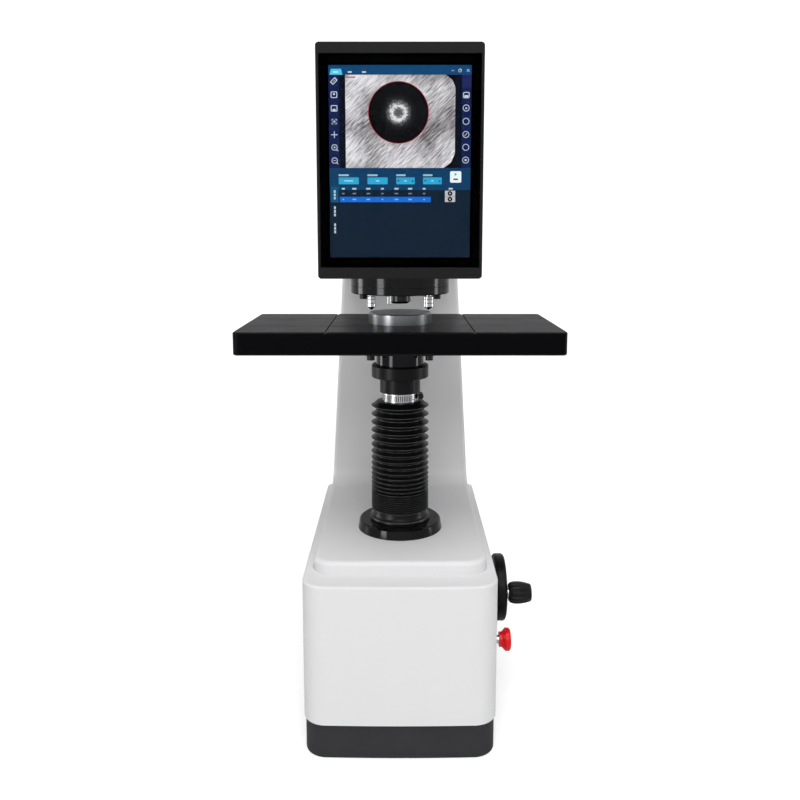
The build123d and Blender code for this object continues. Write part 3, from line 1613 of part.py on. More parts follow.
# Screen housing: black shell, open at the back, with a window for the display
screen_mid = (screen_top + screen_bottom) / 2
front_plane = Plane.XZ.offset(screen_front)
glass_width = screen_width - 2 * side_strip
glass_tall = screen_height - bar_top - bar_bottom
glass_mid = screen_bottom + bar_bottom + glass_tall / 2
display_mid = display_bottom + display_height / 2
window_width = display_width + 2 * display_margin
window_height = display_height + 2 * display_margin
with BuildPart() as screen_housing:
    with BuildSketch(front_plane):
        with Locations((0, screen_mid)):
            RectangleRounded(screen_width, screen_height, screen_corner)
    extrude(amount=-screen_depth)
    fillet(screen_housing.faces().sort_by(Axis.Y)[0].edges(), screen_edge)
    with BuildSketch(front_plane):
        with Locations((0, glass_mid)):
            Rectangle(glass_width, glass_tall)
    extrude(amount=-glass_height, mode=Mode.SUBTRACT)
    with BuildSketch(front_plane):
        with Locations((0, display_mid)):
            Rectangle(window_width, window_height)
    extrude(amount=-screen_depth, mode=Mode.SUBTRACT)
    with BuildSketch(front_plane.offset(-glass_height - screen_shell)):
        with Locations((0, screen_mid)):
            Rectangle(screen_width - 2 * screen_shell, screen_height - 2 * screen_shell)
    extrude(amount=-screen_depth, mode=Mode.SUBTRACT)
screen_housing.part.label = "screen_housing"
export_step(screen_housing.part, "parts/screen_housing.step")

# Touch glass: front pane, flush with the housing's bars
with BuildPart() as touch_glass:
    with BuildSketch(front_plane):
        with Locations((0, glass_mid)):
            Rectangle(glass_width - running, glass_tall - running)
    extrude(amount=-glass_height)
touch_glass.part.label = "touch_glass"
export_step(touch_glass.part, "parts/touch_glass.step")

# Display panel: screen module in the window, behind the glass
with BuildPart() as display_panel:
    with BuildSketch(front_plane.offset(-glass_height)):
        with Locations((0, display_mid)):
            Rectangle(display_width, display_height)
    extrude(amount=-display_thickness)
display_panel.part.label = "display_panel"
export_step(display_panel.part, "parts/display_panel.step")

# Screen back: vented plate that closes the housing
back_plane = Plane.XZ.offset(-screen_back_y)
screw_inset = 12.0
screen_screw_places = [
    (sx * (screen_width / 2 - screw_inset), screen_mid + sz * (screen_height / 2 - screw_inset))
    for sx in (-1, 1)
    for sz in (-1, 1)
]
with BuildPart() as screen_back:
    with BuildSketch(back_plane):
        with Locations((0, screen_mid)):
            Rectangle(screen_width - 2 * screen_shell - running, screen_height - 2 * screen_shell - running)
        with Locations((0, screen_top - 3 * screw_inset)):
            with GridLocations(0, vent_pitch, 1, 3):
                SlotOverall(vent_length, vent_width, mode=Mode.SUBTRACT)
        with Locations(*screen_screw_places):
            Circle(cover_screw_shank_r + screw_play, mode=Mode.SUBTRACT)
    extrude(amount=screen_back_height)
screen_back.part.label = "screen_back"
export_step(screen_back.part, "parts/screen_back.step")

# Screen bracket: steel block with a cable window, between the screen's back and the head
with BuildPart() as screen_bracket:
    with BuildSketch(back_plane):
        with Locations((0, bracket_centre_z)):
            Rectangle(bracket_width, bracket_height)
            Rectangle(bracket_width / 2, bracket_height / 2, mode=Mode.SUBTRACT)
    extrude(amount=-(-head_front - screen_back_y))
screen_bracket.part.label = "screen_bracket"
export_step(screen_bracket.part, "parts/screen_bracket.step")

# Power inlet: one moulding with a socket and a switch well, flanged on the rear cover
cover_back = body_rear + cover_thickness
panel_left = inlet_x - inlet_width / 2 - inlet_rim
panel_right = switch_x + switch_width / 2 + inlet_rim
panel_height = max(inlet_height, switch_height) + inlet_rim
rocker_pivot_y = cover_back - rocker_depth
rocker_pin_end = switch_width / 2 - switch_wall + rocker_pin_reach
with BuildPart() as power_inlet:
    with BuildSketch(Plane.XZ.offset(-cover_back)):
        with Locations(((panel_left + panel_right) / 2, inlet_z)):
            RectangleRounded(panel_right - panel_left, panel_height, inlet_corner)
    extrude(amount=-inlet_flange)
    with BuildSketch(Plane.XZ.offset(-cover_back)):
        with Locations((inlet_x, inlet_z)):
            Rectangle(inlet_width - 2 * play, inlet_height - 2 * play)
        with Locations((switch_x, inlet_z)):
            Rectangle(switch_width - 2 * play, switch_height - 2 * play)
    extrude(amount=inlet_depth)
    with BuildSketch(Plane.XZ.offset(-cover_back - inlet_flange)) as socket:
        with Locations((inlet_x, inlet_z)):
            Rectangle(inlet_width - 2 * inlet_wall, inlet_height - 2 * inlet_wall)
        chamfer(socket.vertices().group_by(Axis.Y)[-1], socket_slope)
        with Locations((switch_x, inlet_z)):
            Rectangle(switch_width - 2 * switch_wall, switch_height - 2 * switch_wall)
    extrude(amount=inlet_depth, mode=Mode.SUBTRACT)
    with BuildSketch(Plane.XZ.offset(inlet_depth - inlet_flange - cover_back)):
        with Locations(
            (inlet_x - blade_pitch, inlet_z - blade_drop),
            (inlet_x, inlet_z + earth_rise),
            (inlet_x + blade_pitch, inlet_z - blade_drop),
        ):
            Rectangle(blade_width, blade_height)
    extrude(amount=-blade_reach)
    with Locations((switch_x, rocker_pivot_y, inlet_z)):
        Cylinder(rocker_pin_r + running, 2 * (rocker_pin_end + play), rotation=(0, 90, 0), mode=Mode.SUBTRACT)
power_inlet.part.label = "power_inlet"
export_step(power_inlet.part, "parts/power_inlet.step")

# Power rocker: mains switch rocker in the well beside the socket
rocker_half = switch_height / 2 - switch_wall - rocker_gap
rocker_plane = Plane.YZ.offset(switch_x)
with BuildPart() as power_rocker:
    with BuildSketch(rocker_plane):
        with BuildLine():
            Polyline(
                (rocker_pivot_y - rocker_back, inlet_z - rocker_half * rocker_taper),
                (rocker_pivot_y + rocker_low, inlet_z - rocker_half),
                (rocker_pivot_y + rocker_middle, inlet_z),
                (rocker_pivot_y + rocker_high, inlet_z + rocker_half),
                (rocker_pivot_y - rocker_back, inlet_z + rocker_half * rocker_taper),
                close=True,
            )
        make_face()
    extrude(amount=switch_width / 2 - switch_wall - play, both=True)
    with Locations((switch_x, rocker_pivot_y, inlet_z)):
        Cylinder(rocker_pin_r, 2 * rocker_pin_end, rotation=(0, 90, 0))
power_rocker.part.label = "power_rocker"
export_step(power_rocker.part, "parts/power_rocker.step")

# Power supply: sheet case on the inside of the column's front wall
column_inside = throat + body_wall
with BuildPart() as power_supply:
    with BuildSketch(Plane.XZ.offset(-column_inside)):
        with Locations((0, supply_z)):
            RectangleRounded(supply_size[0], supply_size[1], supply_corner)
    extrude(amount=-supply_size[2])
power_supply.part.label = "power_supply"
export_step(power_supply.part, "parts/power_supply.step")

# Controller board: circuit board on four posts, above the power supply
board_y = column_inside + stand_off
with BuildPart() as controller_board:
    with BuildSketch(Plane.XZ.offset(-board_y)):
        with Locations((0, board_z)):
            Rectangle(board_size[0], board_size[1])
    extrude(amount=-board_size[2])
    with BuildSketch(Plane.XZ.offset(-board_y)):
        with Locations((0, board_z)):
            with GridLocations(
                board_size[0] - 2 * board_post_inset, board_size[1] - 2 * board_post_inset, 2, 2
            ):
                Circle(board_post_r)
    extrude(amount=stand_off)
    with BuildSketch(Plane.XZ.offset(-board_y - board_size[2])):
        with Locations((chip_place[0], board_z + chip_place[1])):
            Rectangle(chip_side, chip_side)
        with Locations(*[(connector_x, board_z + row) for row in connector_rows]):
            Rectangle(*connector_size)
    extrude(amount=-chip_height)
controller_board.part.label = "controller_board"
export_step(controller_board.part, "parts/controller_board.step")


def cap_screw(length):
    """Cap screw: head above the origin with a hexagon socket, shank below it along -Z."""
    with BuildPart() as screw:
        with BuildSketch():
            Circle(cap_r)
        extrude(amount=cap_height)
        with BuildSketch():
            Circle(cap_shank_r)
        extrude(amount=-length)
    return screw.part


# Frame screws: cap screws of the base plate, gear case, screw flange and turret housing
frame_cap_screws = Compound(
    [
        Location((x, y, z)) * Rotation(turn, 0, 0) * cap_screw(cap_grip)
        for circle, count, start, middle, z, turn in (
            (case_screw_circle, 6, 30, 0, case_top - case_flange_height, 180),
            (flange_screw_circle, 4, 45, 0, deck_under, 180),
            (ring_screw_circle, 3, 90, turret_y, floor_inside, 0),
        )
        for x, y in [
            (
                circle * math.cos(math.radians(start + 360 * step / count)),
                middle + circle * math.sin(math.radians(start + 360 * step / count)),
            )
            for step in range(count)
        ]
    ]
    + [Location((x, y, plate_seat)) * Rotation(180, 0, 0) * cap_screw(cap_grip) for x, y in boss_places]
)
frame_cap_screws.label = "frame_cap_screws"
export_step(frame_cap_screws, "parts/frame_cap_screws.step")


def cover_screw():
    """Low button-head screw: head above the origin, shank below it along -Z."""
    with BuildPart() as screw:
        with BuildSketch():
            Circle(cover_screw_r)
        extrude(amount=cover_screw_head)
        chamfer(screw.edges().group_by(Axis.Z)[-1], cover_screw_head / 2)
        with BuildSketch():
            Circle(cover_screw_shank_r)
        extrude(amount=-cover_screw_length / 2)
    return screw.part


# Cover screws: button-head screws of the rear cover and the screen's back
rearward = Rotation(-90, 0, 0)
cover_screws = Compound(
    [Location((x, cover_back, z)) * rearward * cover_screw() for x, z in cover_screw_places]
    + [
        Location((x, screen_back_y, z)) * rearward * cover_screw()
        for x, z in screen_screw_places
    ]
)
cover_screws.label = "cover_screws"
export_step(cover_screws, "parts/cover_screws.step")
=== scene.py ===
import math

import bmesh
import bpy
import numpy as np
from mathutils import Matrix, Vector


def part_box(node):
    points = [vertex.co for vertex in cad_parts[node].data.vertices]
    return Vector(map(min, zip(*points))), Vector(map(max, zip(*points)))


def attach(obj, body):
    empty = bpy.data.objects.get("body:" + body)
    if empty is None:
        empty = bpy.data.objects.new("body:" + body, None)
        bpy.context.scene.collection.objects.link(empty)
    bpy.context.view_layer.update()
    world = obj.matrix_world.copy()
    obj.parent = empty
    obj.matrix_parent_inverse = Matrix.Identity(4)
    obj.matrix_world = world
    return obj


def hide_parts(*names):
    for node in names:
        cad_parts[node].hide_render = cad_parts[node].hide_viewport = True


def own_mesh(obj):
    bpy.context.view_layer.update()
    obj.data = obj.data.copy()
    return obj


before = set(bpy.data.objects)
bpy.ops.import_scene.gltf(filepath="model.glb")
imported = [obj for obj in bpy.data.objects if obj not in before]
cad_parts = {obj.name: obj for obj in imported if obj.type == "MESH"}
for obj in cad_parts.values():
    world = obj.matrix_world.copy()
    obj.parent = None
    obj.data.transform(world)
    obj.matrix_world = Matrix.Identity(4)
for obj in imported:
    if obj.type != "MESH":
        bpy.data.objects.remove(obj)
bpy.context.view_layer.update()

# Studio: two soft lamps and three upright strips, with the camera at the photograph's standpoint, straight
# in front of the tester and a little above its table. The strips light nothing matt: they only show as
# highlights on glossy and bright surfaces.
scene = bpy.context.scene
scene.view_settings.view_transform = "Standard"
camera_place = (0.0, -1.0629, 0.6391)
camera_pitch_deg = 8.01
camera_lens_mm = 36.63
camera_shift = -0.0722
camera_data = bpy.data.cameras.new("camera")
camera_data.lens = camera_lens_mm
camera_data.sensor_width = 36.0
camera_data.shift_y = camera_shift
camera = bpy.data.objects.new("camera", camera_data)
camera.location = camera_place
camera.rotation_euler = (math.radians(90 - camera_pitch_deg), 0, 0)
scene.collection.objects.link(camera)
scene.camera = camera


def lamp(name, place, aim, width, height, power, lights_matt=True):
    """Oblong area lamp at place, turned towards aim. Without lights_matt it only shows as a highlight."""
    data = bpy.data.lights.new(name, "AREA")
    data.shape = "RECTANGLE"
    data.size = width
    data.size_y = height
    data.energy = power
    item = bpy.data.objects.new(name, data)
    item.location = place
    direction = np.array(aim, float) - np.array(place, float)
    item.rotation_euler = Vector(direction).to_track_quat("-Z", "Y").to_euler()
    item.visible_diffuse = lights_matt
    scene.collection.objects.link(item)


lamp("front_lamp", (0.2, -3.0, 2.3), (0, 0, 0.35), width=1.8, height=1.1, power=26)
lamp("top_lamp", (0.0, -0.9, 2.6), (0, 0, 0.3), width=1.4, height=1.4, power=20)
strip_tall = 1.2
for strip, place, width, power in (
    ("left_strip", (-1.35, -1.4, 0.62), 0.5, 24),
    ("side_strip", (-1.9, 0.4, 0.62), 0.5, 15),
    ("right_strip", (1.9, 0.0, 0.62), 0.3, 10),
):
    lamp(strip, place, (0, 0, 0.5), width, strip_tall, power, lights_matt=False)


# Sweep: white paper that lies on the floor and rises behind the tester in one soft curve. It shines a
# little to the camera, so that it is white where nothing shades it.
# Height = radius times one minus the cosine of the bend, then straight up.
def grid_faces(rows, columns, close_rows, close_columns):
    """Quads of a grid of points: each joins a point to its next neighbours, round the end if closed."""
    row = np.arange(rows if close_rows else rows - 1)[:, None]
    column = np.arange(columns if close_columns else columns - 1)[None, :]
    next_row = (row + 1) % rows
    next_column = (column + 1) % columns
    corners = (
        row * columns + column,
        row * columns + next_column,
        next_row * columns + next_column,
        next_row * columns + column,
    )
    return np.stack([c.ravel() for c in np.broadcast_arrays(*corners)], axis=1)


def new_piece(name, points, faces, body, smooth=True, outward=True):
    """Mesh object with those points and faces, its normals turned outwards, riding on a CAD body."""
    mesh = bpy.data.meshes.new(name)
    corners = np.asarray(points, float).reshape(-1, 3).tolist()
    mesh.from_pydata(corners, [], [list(map(int, face)) for face in faces])
    if outward:
        shell = bmesh.new()
        shell.from_mesh(mesh)
        bmesh.ops.recalc_face_normals(shell, faces=shell.faces)
        shell.to_mesh(mesh)
        shell.free()
    mesh.polygons.foreach_set("use_smooth", np.full(len(mesh.polygons), smooth))
    piece = bpy.data.objects.new(name, mesh)
    scene.collection.objects.link(piece)
    if body:
        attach(piece, body)
    return piece


sweep_half = 4.0
sweep_front, sweep_rear = -5.0, 2.2
sweep_bend = 0.8
sweep_top = 5.0
bend = np.linspace(0, math.pi / 2, 13)
bend_along = sweep_rear - sweep_bend + sweep_bend * np.sin(bend)
along = np.concatenate([[sweep_front, 0.0], bend_along, [sweep_rear]])
rise = np.concatenate([[0.0, 0.0], sweep_bend * (1 - np.cos(bend)), [sweep_top]])
across = np.array([-sweep_half, sweep_half])
sweep_points = np.stack(np.broadcast_arrays(across[None, :], along[:, None], rise[:, None]), axis=-1)
sweep = new_piece("sweep", sweep_points, grid_faces(len(along), 2, False, False), None, outward=False)
paper = bpy.data.materials.new("sweep_paper")
paper.use_nodes = True
nodes, links = paper.node_tree.nodes, paper.node_tree.links
paper_shader = nodes["Principled BSDF"]
paper_shader.inputs["Base Color"].default_value = (0.86, 0.86, 0.86, 1)
paper_shader.inputs["Roughness"].default_value = 0.9
paper_shader.inputs["Specular IOR Level"].default_value = 0.1
rays = nodes.new("ShaderNodeLightPath")
paper_glow = 0.45
seen = nodes.new("ShaderNodeMath")
seen.operation = "MULTIPLY"
seen.inputs[1].default_value = paper_glow
links.new(rays.outputs["Is Camera Ray"], seen.inputs[0])
paper_shader.inputs["Emission Color"].default_value = (1, 1, 1, 1)
links.new(seen.outputs[0], paper_shader.inputs["Emission Strength"])
sweep.data.materials.append(paper)

# World: white to the camera and in reflections. Matt surfaces get a light that is full in front, above and
# behind, and fades towards both sides by the heading's X.
full_light, side_light = 1.0, 0.05
world = bpy.data.worlds.new("studio")
world.use_nodes = True
nodes, links = world.node_tree.nodes, world.node_tree.links
sky = nodes["Background"]
sky.inputs["Color"].default_value = (1, 1, 1, 1)
rays = nodes.new("ShaderNodeLightPath")
heading = nodes.new("ShaderNodeTexCoord")
sideways = nodes.new("ShaderNodeSeparateXYZ")
links.new(heading.outputs["Generated"], sideways.inputs[0])
dimmer = nodes.new("ShaderNodeMath")
dimmer.operation = "ABSOLUTE"
links.new(sideways.outputs["X"], dimmer.inputs[0])
soft = nodes.new("ShaderNodeMapRange")
soft.inputs["To Min"].default_value = full_light
soft.inputs["To Max"].default_value = side_light
links.new(dimmer.outputs[0], soft.inputs["Value"])
white_or_soft = nodes.new("ShaderNodeMapRange")
white_or_soft.inputs["To Min"].default_value = 1.0
links.new(soft.outputs["Result"], white_or_soft.inputs["To Max"])
links.new(rays.outputs["Is Diffuse Ray"], white_or_soft.inputs["Value"])
links.new(white_or_soft.outputs["Result"], sky.inputs["Strength"])
scene.world = world


# White covers: the cast C-frame, the shell round its base and the sheet on its open back. All three have
# the same satin white powder coat, with its faint orange-peel skin, and a painted highlight along their
# edges.
def tone(red, green, blue):
    """Linear colour of a screen colour written as 0 to 255."""
    share = np.array([red, green, blue]) / 255
    linear = np.where(share <= 0.04045, share / 12.92, ((share + 0.055) / 1.055) ** 2.4)
    return (*linear.tolist(), 1.0)


def effect_group(name, inputs, outputs):
    """Empty shader node group. inputs are (name, kind, value); outputs are (name, kind)."""
    group = bpy.data.node_groups.new(name, "ShaderNodeTree")
    for socket, kind, value in inputs:
        made = group.interface.new_socket(socket, in_out="INPUT", socket_type=kind)
        made.default_value = value
    for socket, kind in outputs:
        group.interface.new_socket(socket, in_out="OUTPUT", socket_type=kind)
    start = group.nodes.new("NodeGroupInput")
    end = group.nodes.new("NodeGroupOutput")
    return group, start, end


def math_node(tree, operation, *values):
    """Math node in a tree, with numbers or sockets as its inputs; gives its output socket."""
    item = tree.nodes.new("ShaderNodeMath")
    item.operation = operation
    for slot_number, value in enumerate(values):
        if isinstance(value, (int, float)):
            item.inputs[slot_number].default_value = value
        else:
            tree.links.new(value, item.inputs[slot_number])
    return item.outputs[0]


def noise(tree, vector, scale, detail=2.0, roughness=0.5):
    """Noise over a vector, its scale a number or a socket; gives its factor socket."""
    cloud = tree.nodes.new("ShaderNodeTexNoise")
    cloud.inputs["Detail"].default_value = detail
    cloud.inputs["Roughness"].default_value = roughness
    tree.links.new(vector, cloud.inputs["Vector"])
    if isinstance(scale, (int, float)):
        cloud.inputs["Scale"].default_value = scale
    else:
        tree.links.new(scale, cloud.inputs["Scale"])
    return cloud.outputs["Fac"]


def mixed(tree, mask, under, over):
    """Colour socket under, covered where the mask is 1 by over, a colour or a socket; gives the result."""
    item = tree.nodes.new("ShaderNodeMix")
    item.data_type = "RGBA"
    tree.links.new(mask, item.inputs["Factor"])
    tree.links.new(under, item.inputs["A"])
    if isinstance(over, tuple):
        item.inputs["B"].default_value = over
    else:
        tree.links.new(over, item.inputs["B"])
    return item.outputs["Result"]


# Uneven colour: colour times (1 + depth * (soft noise - a half) * 2), over object coordinates
FLOAT, COLOUR = "NodeSocketFloat", "NodeSocketColor"
uneven, start, end = effect_group(
    "uneven_colour",
    [("Colour", COLOUR, (1, 1, 1, 1)), ("Depth", FLOAT, 0.05), ("Size", FLOAT, 9.0)],
    [("Colour", COLOUR)],
)
place = uneven.nodes.new("ShaderNodeTexCoord")
cloud = noise(uneven, place.outputs["Object"], start.outputs["Size"], detail=5.0)
centred = math_node(uneven, "SUBTRACT", cloud, 0.5)
depth_now = math_node(uneven, "MULTIPLY", start.outputs["Depth"], 2.0)
factor = math_node(uneven, "MULTIPLY_ADD", centred, depth_now, 1.0)
scaled = uneven.nodes.new("ShaderNodeVectorMath")
scaled.operation = "SCALE"
uneven.links.new(start.outputs["Colour"], scaled.inputs[0])
uneven.links.new(factor, scaled.inputs["Scale"])
uneven.links.new(scaled.outputs["Vector"], end.inputs["Colour"])

# Lighter edges, as edge wear on some finishes and as a painted highlight on others: how far the rounded
# normal leans from the true one, broken up by noise
wear_and_highlight_edges, start, end = effect_group(
    "edge_wear_and_highlight",
    [("Width", FLOAT, 0.001), ("Amount", FLOAT, 0.5), ("Patchiness", FLOAT, 1.0)],
    [("Mask", FLOAT)],
)
rounded = wear_and_highlight_edges.nodes.new("ShaderNodeBevel")
rounded.samples = 4
wear_and_highlight_edges.links.new(start.outputs["Width"], rounded.inputs["Radius"])
shape = wear_and_highlight_edges.nodes.new("ShaderNodeNewGeometry")
lean = wear_and_highlight_edges.nodes.new("ShaderNodeVectorMath")
lean.operation = "DOT_PRODUCT"
wear_and_highlight_edges.links.new(rounded.outputs["Normal"], lean.inputs[0])
wear_and_highlight_edges.links.new(shape.outputs["True Normal"], lean.inputs[1])
edge = wear_and_highlight_edges.nodes.new("ShaderNodeMapRange")
edge.inputs["From Min"].default_value = 0.97
edge.inputs["From Max"].default_value = 0.75
wear_and_highlight_edges.links.new(lean.outputs["Value"], edge.inputs["Value"])
place = wear_and_highlight_edges.nodes.new("ShaderNodeTexCoord")
edge_breakup = noise(wear_and_highlight_edges, place.outputs["Object"], 140.0, detail=4.0)
patchy = wear_and_highlight_edges.nodes.new("ShaderNodeMapRange")
patchy.inputs["From Min"].default_value = 0.42
patchy.inputs["From Max"].default_value = 0.62
wear_and_highlight_edges.links.new(edge_breakup, patchy.inputs["Value"])
whole = math_node(wear_and_highlight_edges, "SUBTRACT", 1.0, start.outputs["Patchiness"])
kept = math_node(wear_and_highlight_edges, "MULTIPLY_ADD", patchy.outputs["Result"], start.outputs["Patchiness"], whole)
broken = math_node(wear_and_highlight_edges, "MULTIPLY", edge.outputs["Result"], kept)
wear_and_highlight_edges.links.new(math_node(wear_and_highlight_edges, "MULTIPLY", broken, start.outputs["Amount"]), end.inputs["Mask"])

# Fine grain: one fine noise gives the height, a broad one spreads the roughness about its middle
grainy, start, end = effect_group(
    "fine_grain",
    [("Size", FLOAT, 900.0), ("Roughness", FLOAT, 0.4), ("Spread", FLOAT, 0.1), ("Stretch", FLOAT, 1.0)],
    [("Height", FLOAT), ("Roughness", FLOAT)],
)
place = grainy.nodes.new("ShaderNodeTexCoord")
stretched = grainy.nodes.new("ShaderNodeCombineXYZ")
grainy.links.new(start.outputs["Stretch"], stretched.inputs[0])
stretched.inputs[1].default_value = 1.0
stretched.inputs[2].default_value = 1.0
pulled = grainy.nodes.new("ShaderNodeVectorMath")
pulled.operation = "MULTIPLY"
grainy.links.new(place.outputs["Object"], pulled.inputs[0])
grainy.links.new(stretched.outputs[0], pulled.inputs[1])
fine = noise(grainy, pulled.outputs["Vector"], start.outputs["Size"], detail=3.0)
grainy.links.new(fine, end.inputs["Height"])
broad = noise(grainy, place.outputs["Object"], 26.0, detail=4.0)
around = math_node(grainy, "SUBTRACT", broad, 0.5)
spread_now = math_node(grainy, "MULTIPLY", start.outputs["Spread"], 2.0)
roughness_now = math_node(grainy, "MULTIPLY_ADD", around, spread_now, start.outputs["Roughness"])
grainy.links.new(roughness_now, end.inputs["Roughness"])


def placed(tree, group, **values):
    """Node of a group in a tree, with the named inputs set."""
    item = tree.nodes.new("ShaderNodeGroup")
    item.node_tree = group
    for socket, value in values.items():
        item.inputs[socket].default_value = value
    return item


def finish(
    name,
    colour,
    roughness,
    metallic=0.0,
    depth=0.05,
    blotch=9.0,
    spread=0.06,
    grain=900.0,
    stretch=1.0,
    relief=0.00002,
    wear_and_highlight_tone=None,
    wear_and_highlight_width=0.0008,
    wear_and_highlight=0.5,
    patchy=1.0,
    specular=0.2,
    coat=0.0,
):
    """Procedural material: uneven colour with a lighter edge band, which is edge wear on some finishes and a
    painted highlight on others, uneven roughness and a fine grain.
    """
    material = bpy.data.materials.new(name)
    material.use_nodes = True
    tree = material.node_tree
    shader = tree.nodes["Principled BSDF"]
    shader.inputs["Metallic"].default_value = metallic
    shader.inputs["Specular IOR Level"].default_value = specular
    shader.inputs["Coat Weight"].default_value = coat
    shader.inputs["Coat Roughness"].default_value = 0.08
    base = placed(tree, uneven, Colour=colour, Depth=depth, Size=blotch)
    skin = placed(tree, grainy, Size=grain, Roughness=roughness, Spread=spread, Stretch=stretch)
    edges = placed(tree, wear_and_highlight_edges, Width=wear_and_highlight_width, Amount=wear_and_highlight, Patchiness=patchy)
    lighter = tuple(min(1.0, 1.4 * channel + 0.02) for channel in colour[:3]) + (1.0,)
    seen_colour = mixed(tree, edges.outputs["Mask"], base.outputs["Colour"], wear_and_highlight_tone or lighter)
    tree.links.new(seen_colour, shader.inputs["Base Color"])
    tree.links.new(skin.outputs["Roughness"], shader.inputs["Roughness"])
    bump = tree.nodes.new("ShaderNodeBump")
    bump.inputs["Distance"].default_value = relief
    tree.links.new(skin.outputs["Height"], bump.inputs["Height"])
    tree.links.new(bump.outputs["Normal"], shader.inputs["Normal"])
    return material


def dress(material, *names):
    """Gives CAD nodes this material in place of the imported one."""
    for name in names:
        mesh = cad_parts[name].data
        mesh.materials.clear()
        mesh.materials.append(material)


# The white coat's lighter edge band is a painted highlight along the covers' edges.
white_coat = finish(
    "white_coat", tone(232, 232, 233), 0.42, depth=0.012, blotch=5.0, grain=620.0, relief=0.00003,
    wear_and_highlight_tone=tone(246, 246, 246), wear_and_highlight_width=0.0025, wear_and_highlight=0.8, patchy=0.15, specular=0.35,
)
dress(white_coat, "frame_casting", "base_housing", "rear_cover")

# Plinth and base plate: a black cast foot with a fine textured coat, closed from below by a thick plate
# of plain steel that rests on the bench.
plinth_coat = finish(
    "plinth_coat", tone(58, 58, 60), 0.5, depth=0.15, blotch=30.0, grain=1500.0, relief=0.00005,
    wear_and_highlight_tone=tone(84, 84, 86), wear_and_highlight_width=0.001, wear_and_highlight=0.35, specular=0.05,
)
dress(plinth_coat, "base_plinth")
plate_steel = finish("plate_steel", tone(120, 121, 124), 0.45, metallic=1.0, depth=0.12, grain=300.0)
dress(plate_steel, "base_plate")

# Screws: black-oxide cap screws throughout, and plated low-headed screws round the rear cover and the
# screen's back.
black_oxide = finish(
    "black_oxide", tone(26, 26, 28), 0.36, metallic=0.2, depth=0.15, blotch=120.0, grain=1800.0,
    wear_and_highlight_tone=tone(110, 110, 112), wear_and_highlight_width=0.0004, wear_and_highlight=0.6,
)
dress(black_oxide, "frame_cap_screws", "mount_screws", "turret_screws", "clamp_screw")
plated_screw = finish(
    "plated_screw", tone(176, 177, 180), 0.3, metallic=1.0, depth=0.08, blotch=150.0, grain=1500.0,
)
dress(plated_screw, "cover_screws")

# Screw flange and lift column: turned steel with a glossy black finish. The flange stands on the plateau,
# the neck, the locking ring and the drum stand on the elevating screw under the table.
gloss_black = finish(
    "gloss_black", tone(10, 10, 12), 0.12, depth=0.12, blotch=60.0, spread=0.03, grain=500.0,
    relief=0.000001, wear_and_highlight_tone=tone(95, 95, 98), wear_and_highlight_width=0.0006, wear_and_highlight=0.45, specular=0.16,
)
satin_black = finish(
    "satin_black", tone(16, 16, 17), 0.34, depth=0.12, blotch=60.0, grain=900.0, relief=0.000006,
    wear_and_highlight_tone=tone(88, 88, 90), wear_and_highlight_width=0.0006, wear_and_highlight=0.4, specular=0.1,
)
dress(gloss_black, "screw_flange", "table_mount")
dress(satin_black, "locking_ring", "elevating_screw")

# Bellows: black moulded rubber, its lower pleats pressed together and the upper ones drawn out.
# Radius = root + (crest - root) * (1 - |2 s - 1| to the power fullness), where s runs over one pleat.
foot_z = 0.2504
foot_r = 0.040
crest_r = 0.0383
root_r = 0.0305
inner_r = 0.0245
cuff_bore_r = 0.0203
cuff_in = 0.0226
lip_tall, lip_deep = 0.002, 0.004
pleats_from = 0.265
tight_count = 9
tight_pitch = 0.0026
open_count = 15
pleats_to = 0.4119
last_over_first = 2.7
pleat_steps = 16
fullness = 0.8
tight_to = pleats_from + tight_count * tight_pitch
first_open = 2 * (pleats_to - tight_to) / open_count / (1 + last_over_first)
open_pitch = np.linspace(first_open, last_over_first * first_open, open_count)
pitch = np.concatenate([np.full(tight_count, tight_pitch), open_pitch])
pleat_base = pleats_from + np.concatenate([[0.0], np.cumsum(pitch)[:-1]])
share = np.linspace(0, 1, pleat_steps, endpoint=False)
pleat_z = (pleat_base[:, None] + pitch[:, None] * share[None, :]).ravel()
swell = 1 - np.abs(2 * share - 1) ** fullness
tight_root = root_r + 0.0038
roots = np.concatenate([np.full(tight_count, tight_root), np.linspace(tight_root, root_r, open_count)])
pleat_r = (roots[:, None] + (crest_r - roots[:, None]) * swell[None, :]).ravel()


def turned(name, radius, height, body, steps=96, loop=False, centre=(0, 0, 0), lying=False):
    """Solid of revolution: point = centre + (radius cos a, radius sin a, height), or height along X if lying.
    radius has one row per height, and may have one column per angle. An open profile gets end caps."""
    height = np.asarray(height, float)
    radius = np.broadcast_to(np.asarray(radius, float).reshape(len(height), -1), (len(height), steps))
    angle = np.linspace(0, 2 * math.pi, steps, endpoint=False)[None, :]
    one, two = radius * np.cos(angle), radius * np.sin(angle)
    three = np.broadcast_to(height[:, None], radius.shape)
    order = (three, one, two) if lying else (one, two, three)
    points = np.stack(order, axis=-1) + np.array(centre)
    faces = list(grid_faces(len(height), steps, loop, True))
    if not loop:
        faces.append(np.arange(steps)[::-1])
        faces.append((len(height) - 1) * steps + np.arange(steps))
    return new_piece(name, points, faces, body)


